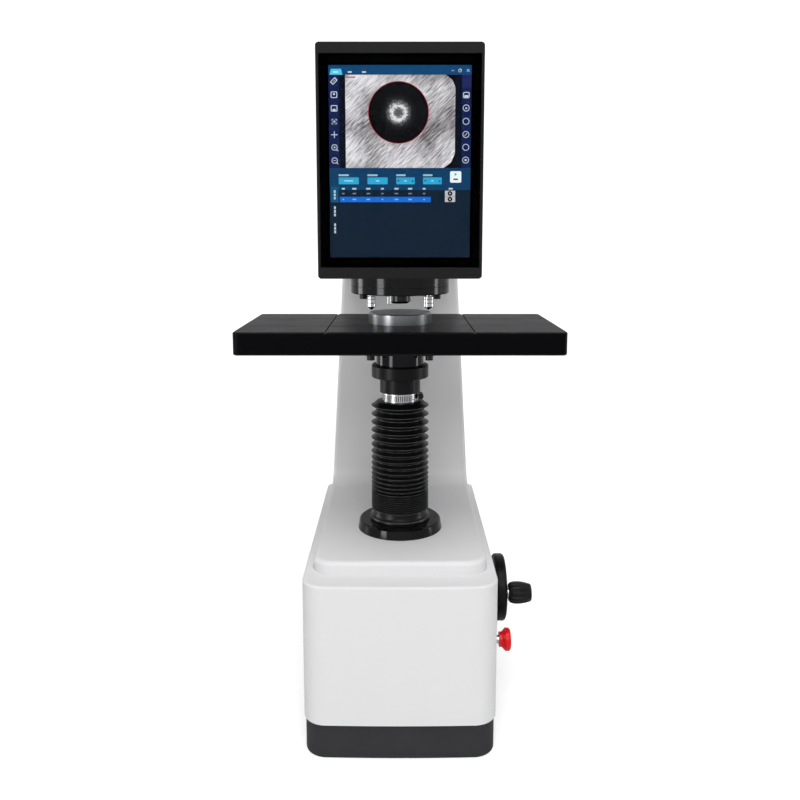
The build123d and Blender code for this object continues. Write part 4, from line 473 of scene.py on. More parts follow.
foot_angle = np.linspace(0, math.pi / 2, 7)
foot_cove_across, foot_cove_up = 0.0045, 0.0097
foot_wall = 0.0049
bevel = 0.0004
foot_curve_r = foot_r - foot_cove_across * np.sin(foot_angle)
foot_curve_z = foot_z + foot_wall + foot_cove_up * (1 - np.cos(foot_angle))
foot_edge_r = [inner_r, foot_r - bevel, foot_r]
foot_edge_z = [foot_z, foot_z, foot_z + bevel]
top_r = [root_r, cuff_in, cuff_bore_r, cuff_bore_r, inner_r]
top_z = [pleats_to - 0.0002, pleats_to, pleats_to, pleats_to - lip_tall, pleats_to - lip_deep]
bellows_r = np.concatenate([foot_edge_r, foot_curve_r, pleat_r, top_r])
bellows_z = np.concatenate([foot_edge_z, foot_curve_z, pleat_z, top_z])
bellows = turned("bellows_pleats", bellows_r, bellows_z, "frame", loop=True)
# The lighter band along the pleats' crests is a painted highlight, a rim of light on each pleat.
rubber = finish(
    "bellows_rubber", tone(11, 11, 12), 0.3, depth=0.2, blotch=40.0, spread=0.08, grain=1300.0,
    relief=0.00002, wear_and_highlight_tone=tone(104, 104, 106), wear_and_highlight_width=0.0008, wear_and_highlight=0.7, patchy=0.4, specular=0.12,
)
bellows.data.materials.append(rubber)
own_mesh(bellows)
cuff_out = 0.0228
cuff_top = 0.4239
edge_in, edge_tall = 0.0002, 0.0003
cuff = turned(
    "bellows_cuff",
    [cuff_bore_r, cuff_out - edge_in, cuff_out, cuff_out, cuff_out - edge_in, cuff_bore_r],
    [pleats_to, pleats_to, pleats_to + edge_tall, cuff_top - edge_tall, cuff_top, cuff_top],
    "lift",
    loop=True,
)
cuff.data.materials.append(rubber)
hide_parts("bellows")
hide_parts("bellows")

# Hose clamp: polished steel band round the cuff, punched with slots in which its worm screw runs.
# The slots are a square wave of the angle round the band: a darker colour and a dent.
def paint_over(material, mask, colour):
    """Lays a colour, or the colour that a socket gives, over a finished material where the mask is 1."""
    tree = material.node_tree
    seen_colour = tree.nodes["Principled BSDF"].inputs["Base Color"]
    tree.links.new(mixed(tree, mask, seen_colour.links[0].from_socket, colour), seen_colour)


def emboss(material, height, distance, sunk=False):
    """Adds a second bump over a finished material's own grain."""
    tree = material.node_tree
    normal = tree.nodes["Principled BSDF"].inputs["Normal"]
    under = normal.links[0].from_socket
    bump = tree.nodes.new("ShaderNodeBump")
    bump.inputs["Distance"].default_value = distance
    bump.invert = sunk
    tree.links.new(height, bump.inputs["Height"])
    tree.links.new(under, bump.inputs["Normal"])
    tree.links.new(bump.outputs["Normal"], normal)


def object_place(tree):
    """Object coordinates in a tree: the whole vector, and the sockets of its X, Y and Z."""
    place = tree.nodes.new("ShaderNodeTexCoord")
    parts = tree.nodes.new("ShaderNodeSeparateXYZ")
    tree.links.new(place.outputs["Object"], parts.inputs[0])
    return place.outputs["Object"], parts.outputs


clamp_steel = finish(
    "clamp_steel", tone(176, 176, 179), 0.2, metallic=1.0, depth=0.1, blotch=90.0, grain=400.0,
    relief=0.00001,
)
dress(clamp_steel, "hose_clamp")
slots_round = 60.0
slot_above = 0.2
slot_half = 0.0035
slot_deep = 0.0004
clamp_z = 0.4179
tree = clamp_steel.node_tree
axes = object_place(tree)[1]
round_band = math_node(tree, "ARCTAN2", axes["Y"], axes["X"])
wave = math_node(tree, "SINE", math_node(tree, "MULTIPLY", round_band, slots_round))
slotted = math_node(tree, "GREATER_THAN", wave, slot_above)
off_middle = math_node(tree, "ABSOLUTE", math_node(tree, "SUBTRACT", axes["Z"], clamp_z))
cut = math_node(tree, "MULTIPLY", slotted, math_node(tree, "LESS_THAN", off_middle, slot_half))
paint_over(clamp_steel, cut, tone(46, 46, 48))
emboss(clamp_steel, cut, slot_deep, sunk=True)

# Test table: a thick ground steel plate, blacked all over, with lining grooves for clamps.
# Its long grinding marks run from side to side.
# The lighter band along the table's edges is a painted highlight.
table_coat = finish(
    "table_coat", tone(8, 8, 10), 0.33, depth=0.1, blotch=14.0, spread=0.05, grain=1400.0, stretch=0.03,
    relief=0.000006, wear_and_highlight_tone=tone(96, 96, 98), wear_and_highlight_width=0.0014, wear_and_highlight=0.8, patchy=0.3, specular=0.02,
)
dress(table_coat, "test_table")


# Flat anvil: hardened steel disc, turned bright on its side and ground on top. Its top is coloured darker,
# darkest in a round patch in the middle and light at the rim. Its turning rings are a sine of the radius.
def ramp(tree, factor, stops):
    """Colour ramp over a factor, its (position, colour) stops in rising order; gives its colour socket."""
    item = tree.nodes.new("ShaderNodeValToRGB")
    elements = item.color_ramp.elements
    first_stop, *between, last_stop = stops
    elements[0].position, elements[0].color = first_stop
    elements[1].position, elements[1].color = last_stop
    for position, colour in between:
        elements.new(position).color = colour
    tree.links.new(factor, item.inputs["Fac"])
    return item.outputs["Color"]


anvil_steel = finish(
    "anvil_steel", tone(126, 128, 131), 0.3, metallic=1.0, depth=0.12, blotch=50.0, grain=500.0,
    relief=0.000003, wear_and_highlight_tone=tone(190, 190, 192),
)
dress(anvil_steel, "flat_anvil")
anvil_r = 0.041
rings_rad_per_m = 16000.0
rings_deep = 0.000004
top_skin = 0.0002
anvil_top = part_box("flat_anvil")[1].z
tree = anvil_steel.node_tree
whole_place, axes = object_place(tree)
flat = tree.nodes.new("ShaderNodeVectorMath")
flat.operation = "MULTIPLY"
flat.inputs[1].default_value = (1, 1, 0)
tree.links.new(whole_place, flat.inputs[0])
reach = tree.nodes.new("ShaderNodeVectorMath")
reach.operation = "LENGTH"
tree.links.new(flat.outputs["Vector"], reach.inputs[0])
patch = ramp(tree, math_node(tree, "DIVIDE", reach.outputs["Value"], anvil_r), [
    (0.36, tone(52, 60, 66)),
    (0.44, tone(84, 94, 101)),
    (0.93, tone(96, 106, 112)),
    (0.97, tone(150, 153, 156)),
])
on_top = math_node(tree, "GREATER_THAN", axes["Z"], anvil_top - top_skin)
paint_over(anvil_steel, on_top, patch)
rings = math_node(tree, "SINE", math_node(tree, "MULTIPLY", reach.outputs["Value"], rings_rad_per_m))
emboss(anvil_steel, rings, rings_deep)

# Turret and indenters: glossy black disc and housing, and ball indenters in chromed holders with painted dark
# reflection rings round them, a cosine of the height. Below the holder the nose is coloured black, with the
# tungsten-carbide ball in its end.
dress(gloss_black, "turret_housing", "turret_disc")
chrome = finish(
    "holder_chrome", tone(168, 169, 172), 0.12, metallic=1.0, depth=0.05, blotch=90.0, spread=0.03,
    grain=700.0, relief=0.0000005,
)
dress(chrome, "left_indenter", "right_indenter")
nose_tall = 0.0038
reflection_band_pitch = 0.0048
reflection_band_above = 0.86
tree = chrome.node_tree
axes = object_place(tree)[1]
above_nose = math_node(tree, "SUBTRACT", axes["Z"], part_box("left_indenter")[0].z + nose_tall)
black_nose = math_node(tree, "LESS_THAN", above_nose, 0.0)
# Painted dark reflections: thin black rings round the chrome holder, one each pitch up from the nose.
reflection_band_wave = math_node(tree, "COSINE", math_node(tree, "MULTIPLY", above_nose, 2 * math.pi / reflection_band_pitch))
painted_reflection_band = math_node(tree, "GREATER_THAN", reflection_band_wave, reflection_band_above)
paint_over(chrome, math_node(tree, "MAXIMUM", black_nose, painted_reflection_band), tone(22, 22, 24))
pin_chrome = finish(
    "pin_chrome", tone(170, 171, 174), 0.14, metallic=1.0, depth=0.06, blotch=90.0, spread=0.03,
    grain=700.0, relief=0.0000005,
)
dress(pin_chrome, "turret_pin")

# Return springs: round steel wire wound between the disc and each indenter's head.
# Point = axis + coil radius round it, rising evenly, plus wire radius round the wire's own line.
wire_r = 0.0009
wire_sides = 8
coil_turns = 9
steps_per_turn = 24


def spring(name, node):
    """Closed coil tube that fills the CAD sleeve of a spring."""
    low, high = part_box(node)
    middle = (low + high) / 2
    coil_r = (high.x - low.x) / 2 - wire_r
    along = np.linspace(0, 1, coil_turns * steps_per_turn + 1)[:, None]
    round_wire = np.linspace(0, 2 * math.pi, wire_sides, endpoint=False)[None, :]
    turn = 2 * math.pi * coil_turns * along
    reach = coil_r + wire_r * np.cos(round_wire)
    rise = low.z + wire_r + (high.z - low.z - 2 * wire_r) * along + wire_r * np.sin(round_wire)
    points = np.stack([middle.x + reach * np.cos(turn), middle.y + reach * np.sin(turn), rise], axis=-1)
    faces = list(grid_faces(len(along), wire_sides, False, True))
    faces.append(np.arange(wire_sides)[::-1])
    faces.append((len(along) - 1) * wire_sides + np.arange(wire_sides))
    coil = new_piece(name, points, faces, "turret")
    coil.data.materials.append(spring_steel)
    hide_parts(node)
    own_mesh(coil)


spring_steel = finish(
    "spring_steel", tone(150, 151, 154), 0.3, metallic=1.0, depth=0.1, blotch=120.0, grain=900.0,
    relief=0.000006,
)
spring("left_return_spring", "left_spring")
spring("right_return_spring", "right_spring")

# Objective and camera: black anodised barrel with a coated front lens, and the small round camera that
# rides above it on the turret disc.
barrel_black = finish(
    "barrel_black", tone(18, 18, 20), 0.28, depth=0.1, blotch=80.0, grain=900.0,
    relief=0.000004, wear_and_highlight_tone=tone(120, 120, 124), wear_and_highlight_width=0.0005, wear_and_highlight=0.5, specular=0.3,
)
dress(barrel_black, "objective", "camera_module")
lens_glass = finish("lens_glass", tone(70, 84, 120), 0.05, depth=0.1, blotch=200.0, specular=0.9, coat=1.0)
dress(lens_glass, "objective_lens")

# Handwheel and crank knob: glossy black moulded wheel beside its black bearing, with a fluted knob that
# turns on a bright pin. The knob's radius is its barrel less the flutes, a power of the cosine round it.
wheel_gloss = finish(
    "wheel_gloss", tone(8, 8, 10), 0.36, depth=0.12, blotch=40.0, grain=600.0, relief=0.000005,
    wear_and_highlight_tone=tone(60, 60, 62), wear_and_highlight_width=0.0008, wear_and_highlight=0.3, specular=0.12,
)
dress(wheel_gloss, "handwheel")
dress(satin_black, "wheel_bearing")
dress(pin_chrome, "crank_pin")
knob_low, knob_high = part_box("crank_knob")
knob_middle = (knob_low + knob_high) / 2
knob_length = knob_high.x - knob_low.x
knob_steps, barrel_steps = 160, 25
bore_r = 0.00505
end_r, belly_r = 0.0112, 0.0145
belly_lean, belly_round = 0.72, 0.8
barrel_part = 0.965
barrel_start = 0.0002
flutes, flute_depth = 10, 0.0016
flute_past_end = 1.04
corner = 0.0006
knob_share = np.linspace(0, 1, barrel_steps)
belly = end_r + (belly_r - end_r) * np.sin(math.pi * knob_share ** belly_lean) ** belly_round
edge_x = knob_length * barrel_part * knob_share + barrel_start
knob_angle = np.linspace(0, 2 * math.pi, knob_steps, endpoint=False)[None, :]
fade = np.sin(math.pi * np.clip(knob_share * flute_past_end, 0, 1)) ** 0.5
flute = np.maximum(np.cos(flutes * knob_angle), 0) ** 2
fluted = belly[:, None] - flute_depth * fade[:, None] * flute
ends_in = np.array([[bore_r], [end_r - corner]])
ends_out = np.array([[end_r - corner / 2], [end_r - 2 * corner], [0.004], [0.0002]])
knob_r = np.concatenate(
    [np.broadcast_to(ends_in, (2, knob_steps)), fluted, np.broadcast_to(ends_out, (4, knob_steps))]
)
knob_x = np.concatenate([[0.0, 0.0], edge_x, knob_length - np.array([corner, 0.0, 0.0, 0.0])])
knob = turned(
    "fluted_knob", knob_r, knob_low.x + knob_x, "knob", steps=knob_steps,
    centre=(0, knob_middle.y, knob_middle.z), lying=True,
)
knob_black = finish(
    "knob_black", tone(18, 18, 19), 0.32, depth=0.12, blotch=60.0, grain=1100.0, relief=0.00001,
    wear_and_highlight_tone=tone(58, 58, 60), wear_and_highlight_width=0.0008, wear_and_highlight=0.4, specular=0.15,
)
knob.data.materials.append(knob_black)
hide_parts("crank_knob")

# Emergency stop: glossy red plastic mushroom on a turned steel stem, which slides in a bright collar on the
# shell's right side.
stop_red = finish(
    "stop_red", tone(226, 4, 20), 0.2, depth=0.06, blotch=50.0, grain=700.0, relief=0.000002,
    wear_and_highlight_tone=tone(240, 50, 50), wear_and_highlight_width=0.0006, wear_and_highlight=0.2, specular=0.3,
)
dress(stop_red, "estop_head")
stem_steel = finish(
    "stem_steel", tone(180, 181, 184), 0.25, metallic=1.0, depth=0.06, blotch=70.0, grain=800.0,
    relief=0.000006,
)
dress(stem_steel, "estop_stem")
dress(pin_chrome, "estop_collar")

# Drive and load train inside the casting: steel shafts and screws, bronze nut and bushes, iron gear case,
# alloy bracket and pulleys, a rubber belt, black motors, and the electronics on the column's wall.
dress(stem_steel, "pinion_shaft", "guide_key", "thrust_bearing", "load_screw", "loading_spindle", "load_cell")
bronze = finish("turned_bronze", tone(186, 142, 84), 0.32, metallic=1.0, depth=0.1, blotch=40.0, grain=500.0)
dress(bronze, "lift_nut", "guide_bush", "shaft_bush")
iron = finish("cast_iron", tone(88, 90, 92), 0.7, depth=0.2, blotch=60.0, grain=260.0, relief=0.0002)
dress(iron, "gear_case")
alloy = finish("milled_alloy", tone(188, 190, 193), 0.36, metallic=1.0, depth=0.06, blotch=30.0, grain=500.0)
dress(alloy, "load_bracket", "ball_nut", "motor_pulley")
zinc = finish("zinc_sheet", tone(160, 163, 166), 0.42, metallic=1.0, depth=0.18, blotch=26.0, grain=400.0)
dress(zinc, "power_supply")
belt_rubber = finish("belt_rubber", tone(30, 30, 31), 0.6, depth=0.15, blotch=60.0, grain=1200.0)
dress(belt_rubber, "load_belt")
motor_black = finish("motor_black", tone(34, 34, 36), 0.4, depth=0.12, blotch=40.0, grain=900.0)
dress(motor_black, "load_motor", "turret_motor")
board_green = finish("board_green", tone(20, 92, 52), 0.4, depth=0.15, blotch=90.0, grain=900.0)
dress(board_green, "controller_board")

# Power inlet and rocker: black moulded socket in the rear cover, in one piece with the well of the rocker
# switch beside it.
moulded_black = finish(
    "moulded_black", tone(28, 28, 30), 0.42, depth=0.12, blotch=60.0, grain=1500.0, relief=0.00004,
    wear_and_highlight_tone=tone(70, 70, 72), wear_and_highlight_width=0.0006, wear_and_highlight=0.35,
)
dress(moulded_black, "power_inlet", "power_rocker")

# Screen: black moulded housing on a steel bracket, with a vented back plate, a clear pane in front, and
# the lit display behind it.
screen_black = finish(
    "screen_black", tone(31, 31, 32), 0.4, depth=0.1, blotch=40.0, grain=1700.0, relief=0.00001,
    wear_and_highlight_tone=tone(60, 60, 62), wear_and_highlight_width=0.0008, wear_and_highlight=0.35, specular=0.06,
)
dress(screen_black, "screen_housing")
dress(stem_steel, "screen_bracket")
back_plate = finish("back_plate", tone(60, 61, 63), 0.45, metallic=0.4, depth=0.1, blotch=40.0, grain=900.0)
dress(back_plate, "screen_back")
pane = finish(
    "clear_pane", (0.94, 0.96, 0.97, 1), 0.03, depth=0.01, spread=0.02, relief=0.0000005, wear_and_highlight=0.0,
    specular=0.12,
)
pane_shader = pane.node_tree.nodes["Principled BSDF"]
pane_shader.inputs["Transmission Weight"].default_value = 1.0
pane_shader.inputs["IOR"].default_value = 1.05
dress(pane, "touch_glass")

# Display: the lit picture of a measuring programme, drawn as flat shapes in layers. Bars, rings and
# strokes stand for its buttons and marks, which say nothing. Sizes are millimetres from the display's
# upper left corner, less shape_rise.
panel_low, panel_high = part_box("display_panel")
panel_width = (panel_high.x - panel_low.x) * 1000
panel_tall = (panel_high.z - panel_low.z) * 1000
picture_in = 0.0008
panel_front = panel_low.y + picture_in
layer_step = 0.00003
shapes, shape_tones, shape_layers = [], [], []
shape_rise = 0.0


def lit(outline, colour, layer):
    """Adds one flat shape: outline is an array of (across, down) in millimetres, raised by shape_rise."""
    shapes.append(np.asarray(outline, float) - (0, shape_rise))
    shape_tones.append(tone(*colour))
    shape_layers.append(layer)


def bar(left, top, width, height, colour, layer, round_by=0.0):
    """Rectangle, with corners rounded by quarter circles where asked."""
    if round_by == 0:
        right, foot = left + width, top + height
        lit([(left, top), (right, top), (right, foot), (left, foot)], colour, layer)
        return
    quarter = np.linspace(0, math.pi / 2, 6)
    corners = []
    for turn, (x, y) in enumerate(
        [
            (left + width - round_by, top + height - round_by),
            (left + round_by, top + height - round_by),
            (left + round_by, top + round_by),
            (left + width - round_by, top + round_by),
        ]
    ):
        angle = quarter + turn * math.pi / 2
        corners.append(np.stack([x + round_by * np.cos(angle), y + round_by * np.sin(angle)], axis=1))
    lit(np.concatenate(corners), colour, layer)


def disc(x, y, radius, colour, layer, steps=32):
    """Round spot: centre plus radius times (cos, sin)."""
    angle = np.linspace(0, 2 * math.pi, steps, endpoint=False)
    lit(np.stack([x + radius * np.cos(angle), y + radius * np.sin(angle)], axis=1), colour, layer)


def ring(x, y, radius, width, colour, layer, start=0.0, sweep_deg=360.0, steps=28):
    """Ring or arc, as one strip of quads between two radii."""
    angle = math.radians(start) + np.linspace(0, math.radians(sweep_deg), steps + 1)
    outer = np.stack([x + radius * np.cos(angle), y + radius * np.sin(angle)], axis=1)
    inner = np.stack([x + (radius - width) * np.cos(angle), y + (radius - width) * np.sin(angle)], axis=1)
    for k in range(steps):
        lit([outer[k], outer[k + 1], inner[k + 1], inner[k]], colour, layer)


def stroke(x0, y0, x1, y1, width, colour, layer):
    """Straight line of a given width: the two ends moved half the width to each side."""
    along = np.array([x1 - x0, y1 - y0], float)
    side = np.array([-along[1], along[0]]) / np.hypot(*along) * width / 2
    a, b = np.array([x0, y0]), np.array([x1, y1])
    lit([a + side, b + side, b - side, a - side], colour, layer)


navy = (13, 31, 48)
title_blue = (12, 70, 116)
strip_blue = (11, 60, 98)
indigo = (15, 31, 78)
gap_black = (4, 11, 26)
button_cyan = (48, 168, 212)
tab_cyan = (80, 200, 236)
row_blue = (20, 108, 214)
mark_white = (206, 216, 226)
ink = (8, 30, 52)
title_tall = 10.3
view_top, view_bottom = title_tall, 111.3
column_left, column_right = 11.3, 148.0
view_left, view_right = 18.5, 140.6
strip_bottom = 135.9
strip_step = 131.8

bar(0, 0, panel_width, panel_tall, navy, 0)
bar(0, 0, panel_width, title_tall, title_blue, 1)
lit([(2.7, 4.0), (14.0, 4.0), (15.6, title_tall), (1.2, title_tall)], tab_cyan, 2)
bar(5.0, 6.6, 6.0, 1.6, (190, 232, 246), 3)
for left in (21.5, 37.2):
    bar(left, 6.6, 4.4, 1.6, mark_white, 2)
bar(0, view_top, column_left, view_bottom - view_top, indigo, 1)
bar(column_left, view_top, view_left - column_left, view_bottom - view_top, gap_black, 1)
bar(view_left, view_top, view_right - view_left, view_bottom - view_top, (3, 3, 4), 1)
bar(view_left + 0.8, view_top + 2.0, 10.5, 1.3, (176, 84, 72), 5)
bar(view_right, view_top, column_right - view_right, view_bottom - view_top, gap_black, 1)
bar(column_right, view_top, panel_width - column_right, view_bottom - view_top, indigo, 1)
bar(column_right, view_top, panel_width - column_right, 14.0, (30, 36, 92), 2)
bar(0, view_bottom, panel_width, strip_step - view_bottom, strip_blue, 1)
bar(10.0, strip_step, panel_width - 10.0, strip_bottom - strip_step, strip_blue, 1)

# window controls at the title's right
bar(136.2, 5.6, 2.6, 0.5, mark_white, 2)
ring(145.6, 5.7, 1.9, 0.5, mark_white, 2)
disc(146.5, 4.8, 0.7, mark_white, 2)
stroke(153.3, 4.4, 155.9, 7.0, 0.45, mark_white, 2)
stroke(155.9, 4.4, 153.3, 7.0, 0.45, mark_white, 2)

# tool marks of the left column: from here on, shapes stand 2 mm higher than their numbers say
shape_rise = 2.0
tool_x = 5.9
stroke(tool_x - 2.6, 21.6, tool_x + 2.6, 16.4, 4.6, mark_white, 2)
stroke(tool_x - 1.8, 20.8, tool_x + 1.8, 17.2, 3.0, indigo, 3)
stroke(tool_x - 0.9, 19.9, tool_x + 0.9, 18.1, 0.6, mark_white, 4)
bar(tool_x - 3.6, 30.2, 7.2, 7.0, mark_white, 2, 1.2)
bar(tool_x - 2.8, 31.0, 5.6, 5.4, indigo, 3, 0.8)
disc(tool_x, 33.0, 1.1, mark_white, 4)
bar(tool_x - 3.6, 45.0, 7.2, 6.8, mark_white, 2, 1.0)
bar(tool_x - 2.8, 45.8, 5.6, 5.2, indigo, 3, 0.6)
bar(tool_x - 1.6, 49.0, 3.2, 2.4, mark_white, 4)
for turn in (0, 90, 180, 270):
    ring(tool_x, 62.8, 3.6, 0.7, mark_white, 2, turn + 25, 40, 6)
stroke(tool_x - 1.8, 62.8, tool_x + 1.8, 62.8, 0.7, mark_white, 2)
stroke(tool_x, 61.0, tool_x, 64.6, 0.7, mark_white, 2)
stroke(tool_x - 3.6, 77.0, tool_x + 3.6, 77.0, 0.8, mark_white, 2)
stroke(tool_x, 73.4, tool_x, 80.6, 0.8, mark_white, 2)
for y in (91.2, 105.6):
    ring(tool_x, y - 0.4, 3.4, 0.7, mark_white, 2)
    stroke(tool_x + 2.4, y + 2.0, tool_x + 4.0, y + 3.6, 0.8, mark_white, 2)
disc(tool_x, 90.8, 0.9, mark_white, 3)
bar(tool_x - 1.4, 104.9, 2.8, 0.6, mark_white, 3)

# tool marks of the right column
right_x = 152.8
bar(right_x - 3.6, 30.8, 7.2, 6.6, mark_white, 2, 1.6)
bar(right_x - 2.8, 31.6, 5.6, 5.0, indigo, 3, 1.2)
bar(right_x - 2.2, 34.2, 4.4, 2.2, mark_white, 4)
for y in (48.0, 62.4, 76.7, 90.7, 104.7):
    ring(right_x, y, 3.7, 0.65, mark_white, 2)
lit([(right_x - 1.2, 49.0), (right_x + 1.2, 49.0), (right_x, 46.8)], mark_white, 3)
stroke(right_x - 1.5, 78.2, right_x + 1.5, 75.2, 0.6, mark_white, 3)
disc(right_x, 104.7, 1.2, mark_white, 3)

# buttons of the blue strip, each under its own small mark
for left, width in ((10.2, 22.7), (42.6, 22.7), (75.0, 20.8), (105.1, 21.1)):
    bar(left, 120.4, 0.5 * width, 1.9, (168, 196, 214), 2)
    bar(left, 123.8, width, 7.6, button_cyan, 2, 0.6)
for left in (16.5, 52.0):
    bar(left, 127.0, 10.0 if left < 20 else 4.0, 1.3, (170, 222, 240), 3)
for left, width in ((75.0, 20.8), (105.1, 21.1)):
    middle = 127.6
    lit([(left + 1.2, middle - 1.0), (left + 3.6, middle - 1.0), (left + 2.4, middle + 1.1)], ink, 3)
    right = left + width
    lit([(right - 3.6, middle + 1.0), (right - 1.2, middle + 1.0), (right - 2.4, middle - 1.1)], ink, 3)
    bar(left + width / 2 - 1.2, middle - 0.6, 2.4, 1.2, (170, 222, 240), 3)
bar(135.5, 116.9, 12.6, 12.7, (244, 250, 252), 2, 1.6)
lit([(140.6, 118.6), (143.4, 120.4), (140.6, 122.2)], (40, 178, 170), 3)
bar(139.2, 125.0, 5.2, 1.8, (60, 96, 128), 3)

# heading and two rows of the results, with a picture beside each row
column_places = (15.3, 27.7, 43.5, 59.4, 75.2, 90.6, 106.4)
for number, x in enumerate(column_places):
    wide = 4.6 if number % 3 else 3.2
    bar(x - wide / 2, 135.4, wide, 1.8, (196, 212, 224), 2)
    bar(x - wide / 2.4, 141.0, wide / 1.2, 1.4, (120, 140, 158), 2)
bar(134.0, 135.4, 4.6, 1.8, (196, 212, 224), 2)
bar(11.2, 145.3, 102.7, 6.0, row_blue, 2)
for number, x in enumerate(column_places):
    wide = 4.0 if number % 3 else 1.6
    bar(x - wide / 2, 147.5, wide, 1.4, (120, 190, 250), 3)
for top in (138.5, 144.9):
    bar(129.9, top, 11.5, 6.1, (196, 198, 200), 2)
    disc(135.6, top + 3.05, 2.7, (6, 6, 8), 3)
    disc(135.6, top + 3.05, 0.8, (210, 212, 214), 4)

# tabs at the left edge, with upright marks
bar(1.0, 133.9, 8.8, 17.6, (12, 84, 124), 2)
for top, tall in ((138.0, 11.0), (156.0, 12.0), (175.0, 12.0)):
    for step in range(3):
        bar(4.6, top + step * tall / 3, 2.0, tall / 4, (196, 208, 218), 3)

shape_points, shape_faces, face_tones = [], [], []
first = 0
for outline, colour, layer in zip(shapes, shape_tones, shape_layers):
    x = panel_low.x + outline[:, 0] / 1000
    z = panel_high.z - outline[:, 1] / 1000
    y = np.full(len(outline), panel_front - layer * layer_step)
    shape_points.append(np.stack([x, y, z], axis=1))
    turned_right = np.cross(outline[1] - outline[0], outline[2] - outline[1]) < 0
    order = first + np.arange(len(outline))
    shape_faces.append(order if turned_right else order[::-1])
    face_tones += [colour] * len(outline)
    first += len(outline)


def screen_sheet(name, points, faces):
    """Flat sheet in the screen's slot, fixed to the frame, with its faces as they are given."""
    return new_piece(name, points, faces, "frame", smooth=False, outward=False)


menu = screen_sheet("display_menu", np.concatenate(shape_points), shape_faces)
lit_tone = menu.data.color_attributes.new("lit_tone", "FLOAT_COLOR", "CORNER")
lit_tone.data.foreach_set("color", np.array(face_tones, np.float32).ravel())


def lit_material(name):
    """Black face that shines with its emission colour; gives the material, its tree and its shader."""
    material = bpy.data.materials.new(name)
    material.use_nodes = True
    shader = material.node_tree.nodes["Principled BSDF"]
    shader.inputs["Base Color"].default_value = (0.004, 0.004, 0.005, 1)
    shader.inputs["Roughness"].default_value = 0.5
    shader.inputs["Specular IOR Level"].default_value = 0.0
    shader.inputs["Emission Strength"].default_value = 1.0
    return material, material.node_tree, shader


menu_light, tree, shader = lit_material("menu_light")
shine = tree.nodes.new("ShaderNodeAttribute")
shine.attribute_name = "lit_tone"
dots = placed(tree, uneven, Depth=0.05, Size=60.0)
tree.links.new(shine.outputs["Color"], dots.inputs["Colour"])
tree.links.new(dots.outputs["Colour"], shader.inputs["Emission Color"])
menu.data.materials.append(menu_light)

# Specimen picture: the camera's view of ground steel with a round ball mark, its lamp's ring in it.
# The plate's right corners are cut off, and a thin red ring measures the mark.
picture_layer = panel_front - 2 * layer_step
cut_top, cut_bottom = 13.0, 16.0
outline = np.array(
    [
        (view_left, view_top),
        (view_right - cut_top * 0.8, view_top),
        (view_right - cut_top * 0.25, view_top + cut_top * 0.45),
        (view_right, view_top + cut_top),
        (view_right, view_bottom - cut_bottom),
        (view_right - cut_bottom * 0.25, view_bottom - cut_bottom * 0.4),
        (view_right - cut_bottom * 0.75, view_bottom),
        (view_left, view_bottom),
    ]
)
picture_points = np.stack(
    [
        panel_low.x + outline[:, 0] / 1000,
        np.full(len(outline), picture_layer),
        panel_high.z - outline[:, 1] / 1000,
    ],
    axis=1,
)
picture = screen_sheet("specimen_picture", picture_points, [np.arange(len(outline))])
mark_centre = (panel_low.x + 0.0775, 0.0, panel_high.z - 0.0509)
mark_r = 0.0334
scratch_slant_deg = -45
scratch_stretch = 16.0
sheen_depth, sheen_dark = 0.5, 0.27
wobble_wide = 0.01
picture_light, tree, shader = lit_material("picture_light")
place = tree.nodes.new("ShaderNodeTexCoord")
slant = tree.nodes.new("ShaderNodeMapping")
slant.vector_type = "TEXTURE"
slant.inputs["Rotation"].default_value = (0, math.radians(scratch_slant_deg), 0)
slant.inputs["Scale"].default_value = (scratch_stretch, 1.0, 1.0)
tree.links.new(place.outputs["Object"], slant.inputs["Vector"])
scratches = noise(tree, slant.outputs["Vector"], 1900.0, detail=6.0, roughness=0.65)
flat = tree.nodes.new("ShaderNodeVectorMath")
flat.operation = "MULTIPLY"
flat.inputs[1].default_value = (1, 0, 1)
tree.links.new(place.outputs["Object"], flat.inputs[0])
away = tree.nodes.new("ShaderNodeVectorMath")
away.operation = "DISTANCE"
away.inputs[1].default_value = mark_centre
tree.links.new(flat.outputs["Vector"], away.inputs[0])
sheen = noise(tree, place.outputs["Object"], 22.0)
shaded = math_node(tree, "MULTIPLY_ADD", sheen, sheen_depth, -sheen_dark)
ground_steel = ramp(tree, math_node(tree, "ADD", scratches, shaded), [
    (0.34, tone(84, 78, 78)),
    (0.48, tone(184, 180, 183)),
    (0.62, tone(246, 243, 246)),
])
speckle = noise(tree, place.outputs["Object"], 500.0)
wobble = math_node(tree, "MULTIPLY_ADD", speckle, wobble_wide, -wobble_wide / 2)
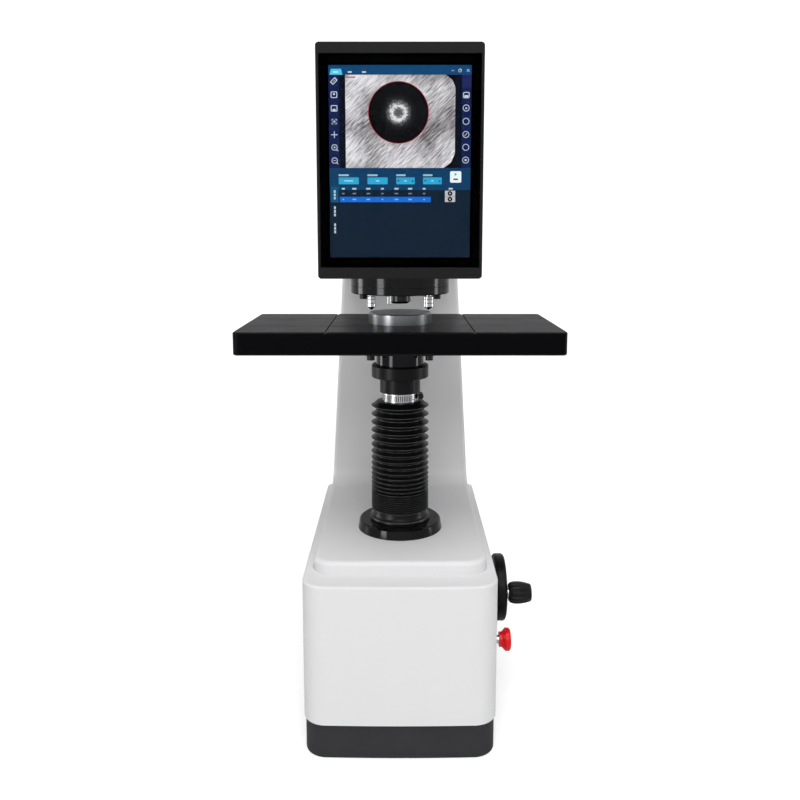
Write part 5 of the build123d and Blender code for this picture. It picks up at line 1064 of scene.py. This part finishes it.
ring_share = math_node(tree, "DIVIDE", math_node(tree, "ADD", away.outputs["Value"], wobble), mark_r)
glow = ramp(tree, ring_share, [
    (0.0, tone(84, 82, 84)),
    (0.13, tone(100, 100, 100)),
    (0.23, tone(240, 240, 240)),
    (0.32, tone(110, 110, 110)),
    (0.43, tone(30, 30, 30)),
    (0.6, tone(5, 5, 6)),
])
in_mark = math_node(tree, "LESS_THAN", away.outputs["Value"], mark_r)
tree.links.new(mixed(tree, in_mark, ground_steel, glow), shader.inputs["Emission Color"])
picture.data.materials.append(picture_light)
ring_steps = 96
ring_r = (mark_r - 0.0001, mark_r + 0.0004)
red_angle = np.linspace(0, 2 * math.pi, ring_steps, endpoint=False)
red_points = np.stack(
    [
        np.stack(
            [
                mark_centre[0] + radius * np.cos(red_angle),
                np.full(ring_steps, picture_layer - layer_step),
                mark_centre[2] + radius * np.sin(red_angle),
            ],
            axis=1,
        )
        for radius in ring_r
    ]
)
red_ring = screen_sheet("measuring_ring", red_points, grid_faces(2, ring_steps, False, True)[:, ::-1])
ring_light, tree, shader = lit_material("ring_light")
red_dots = placed(tree, uneven, Colour=tone(196, 40, 44), Depth=0.1, Size=300.0)
tree.links.new(red_dots.outputs["Colour"], shader.inputs["Emission Color"])
red_ring.data.materials.append(ring_light)
for piece in (menu, picture, red_ring):
    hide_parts("display_panel")

# Border print: black ink on the back of the pane, round the lit display. Its four strips lie between
# the pane's edge and the display's.
pane_low, pane_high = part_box("touch_glass")
border_x = np.array([pane_low.x, panel_low.x, panel_high.x, pane_high.x])
border_z = np.array([pane_low.z, panel_low.z, panel_high.z, pane_high.z])
border_points = np.stack(np.broadcast_arrays(border_x[None, :], pane_high.y, border_z[:, None]), axis=-1)
middle_quad = 4
border_faces = np.delete(grid_faces(4, 4, False, False), middle_quad, axis=0)
border = screen_sheet("border_print", border_points, border_faces)
border_ink = finish(
    "border_ink", tone(3, 3, 4), 0.6, depth=0.2, blotch=80.0, relief=0.000001, wear_and_highlight=0.0, specular=0.0
)
border.data.materials.append(border_ink)
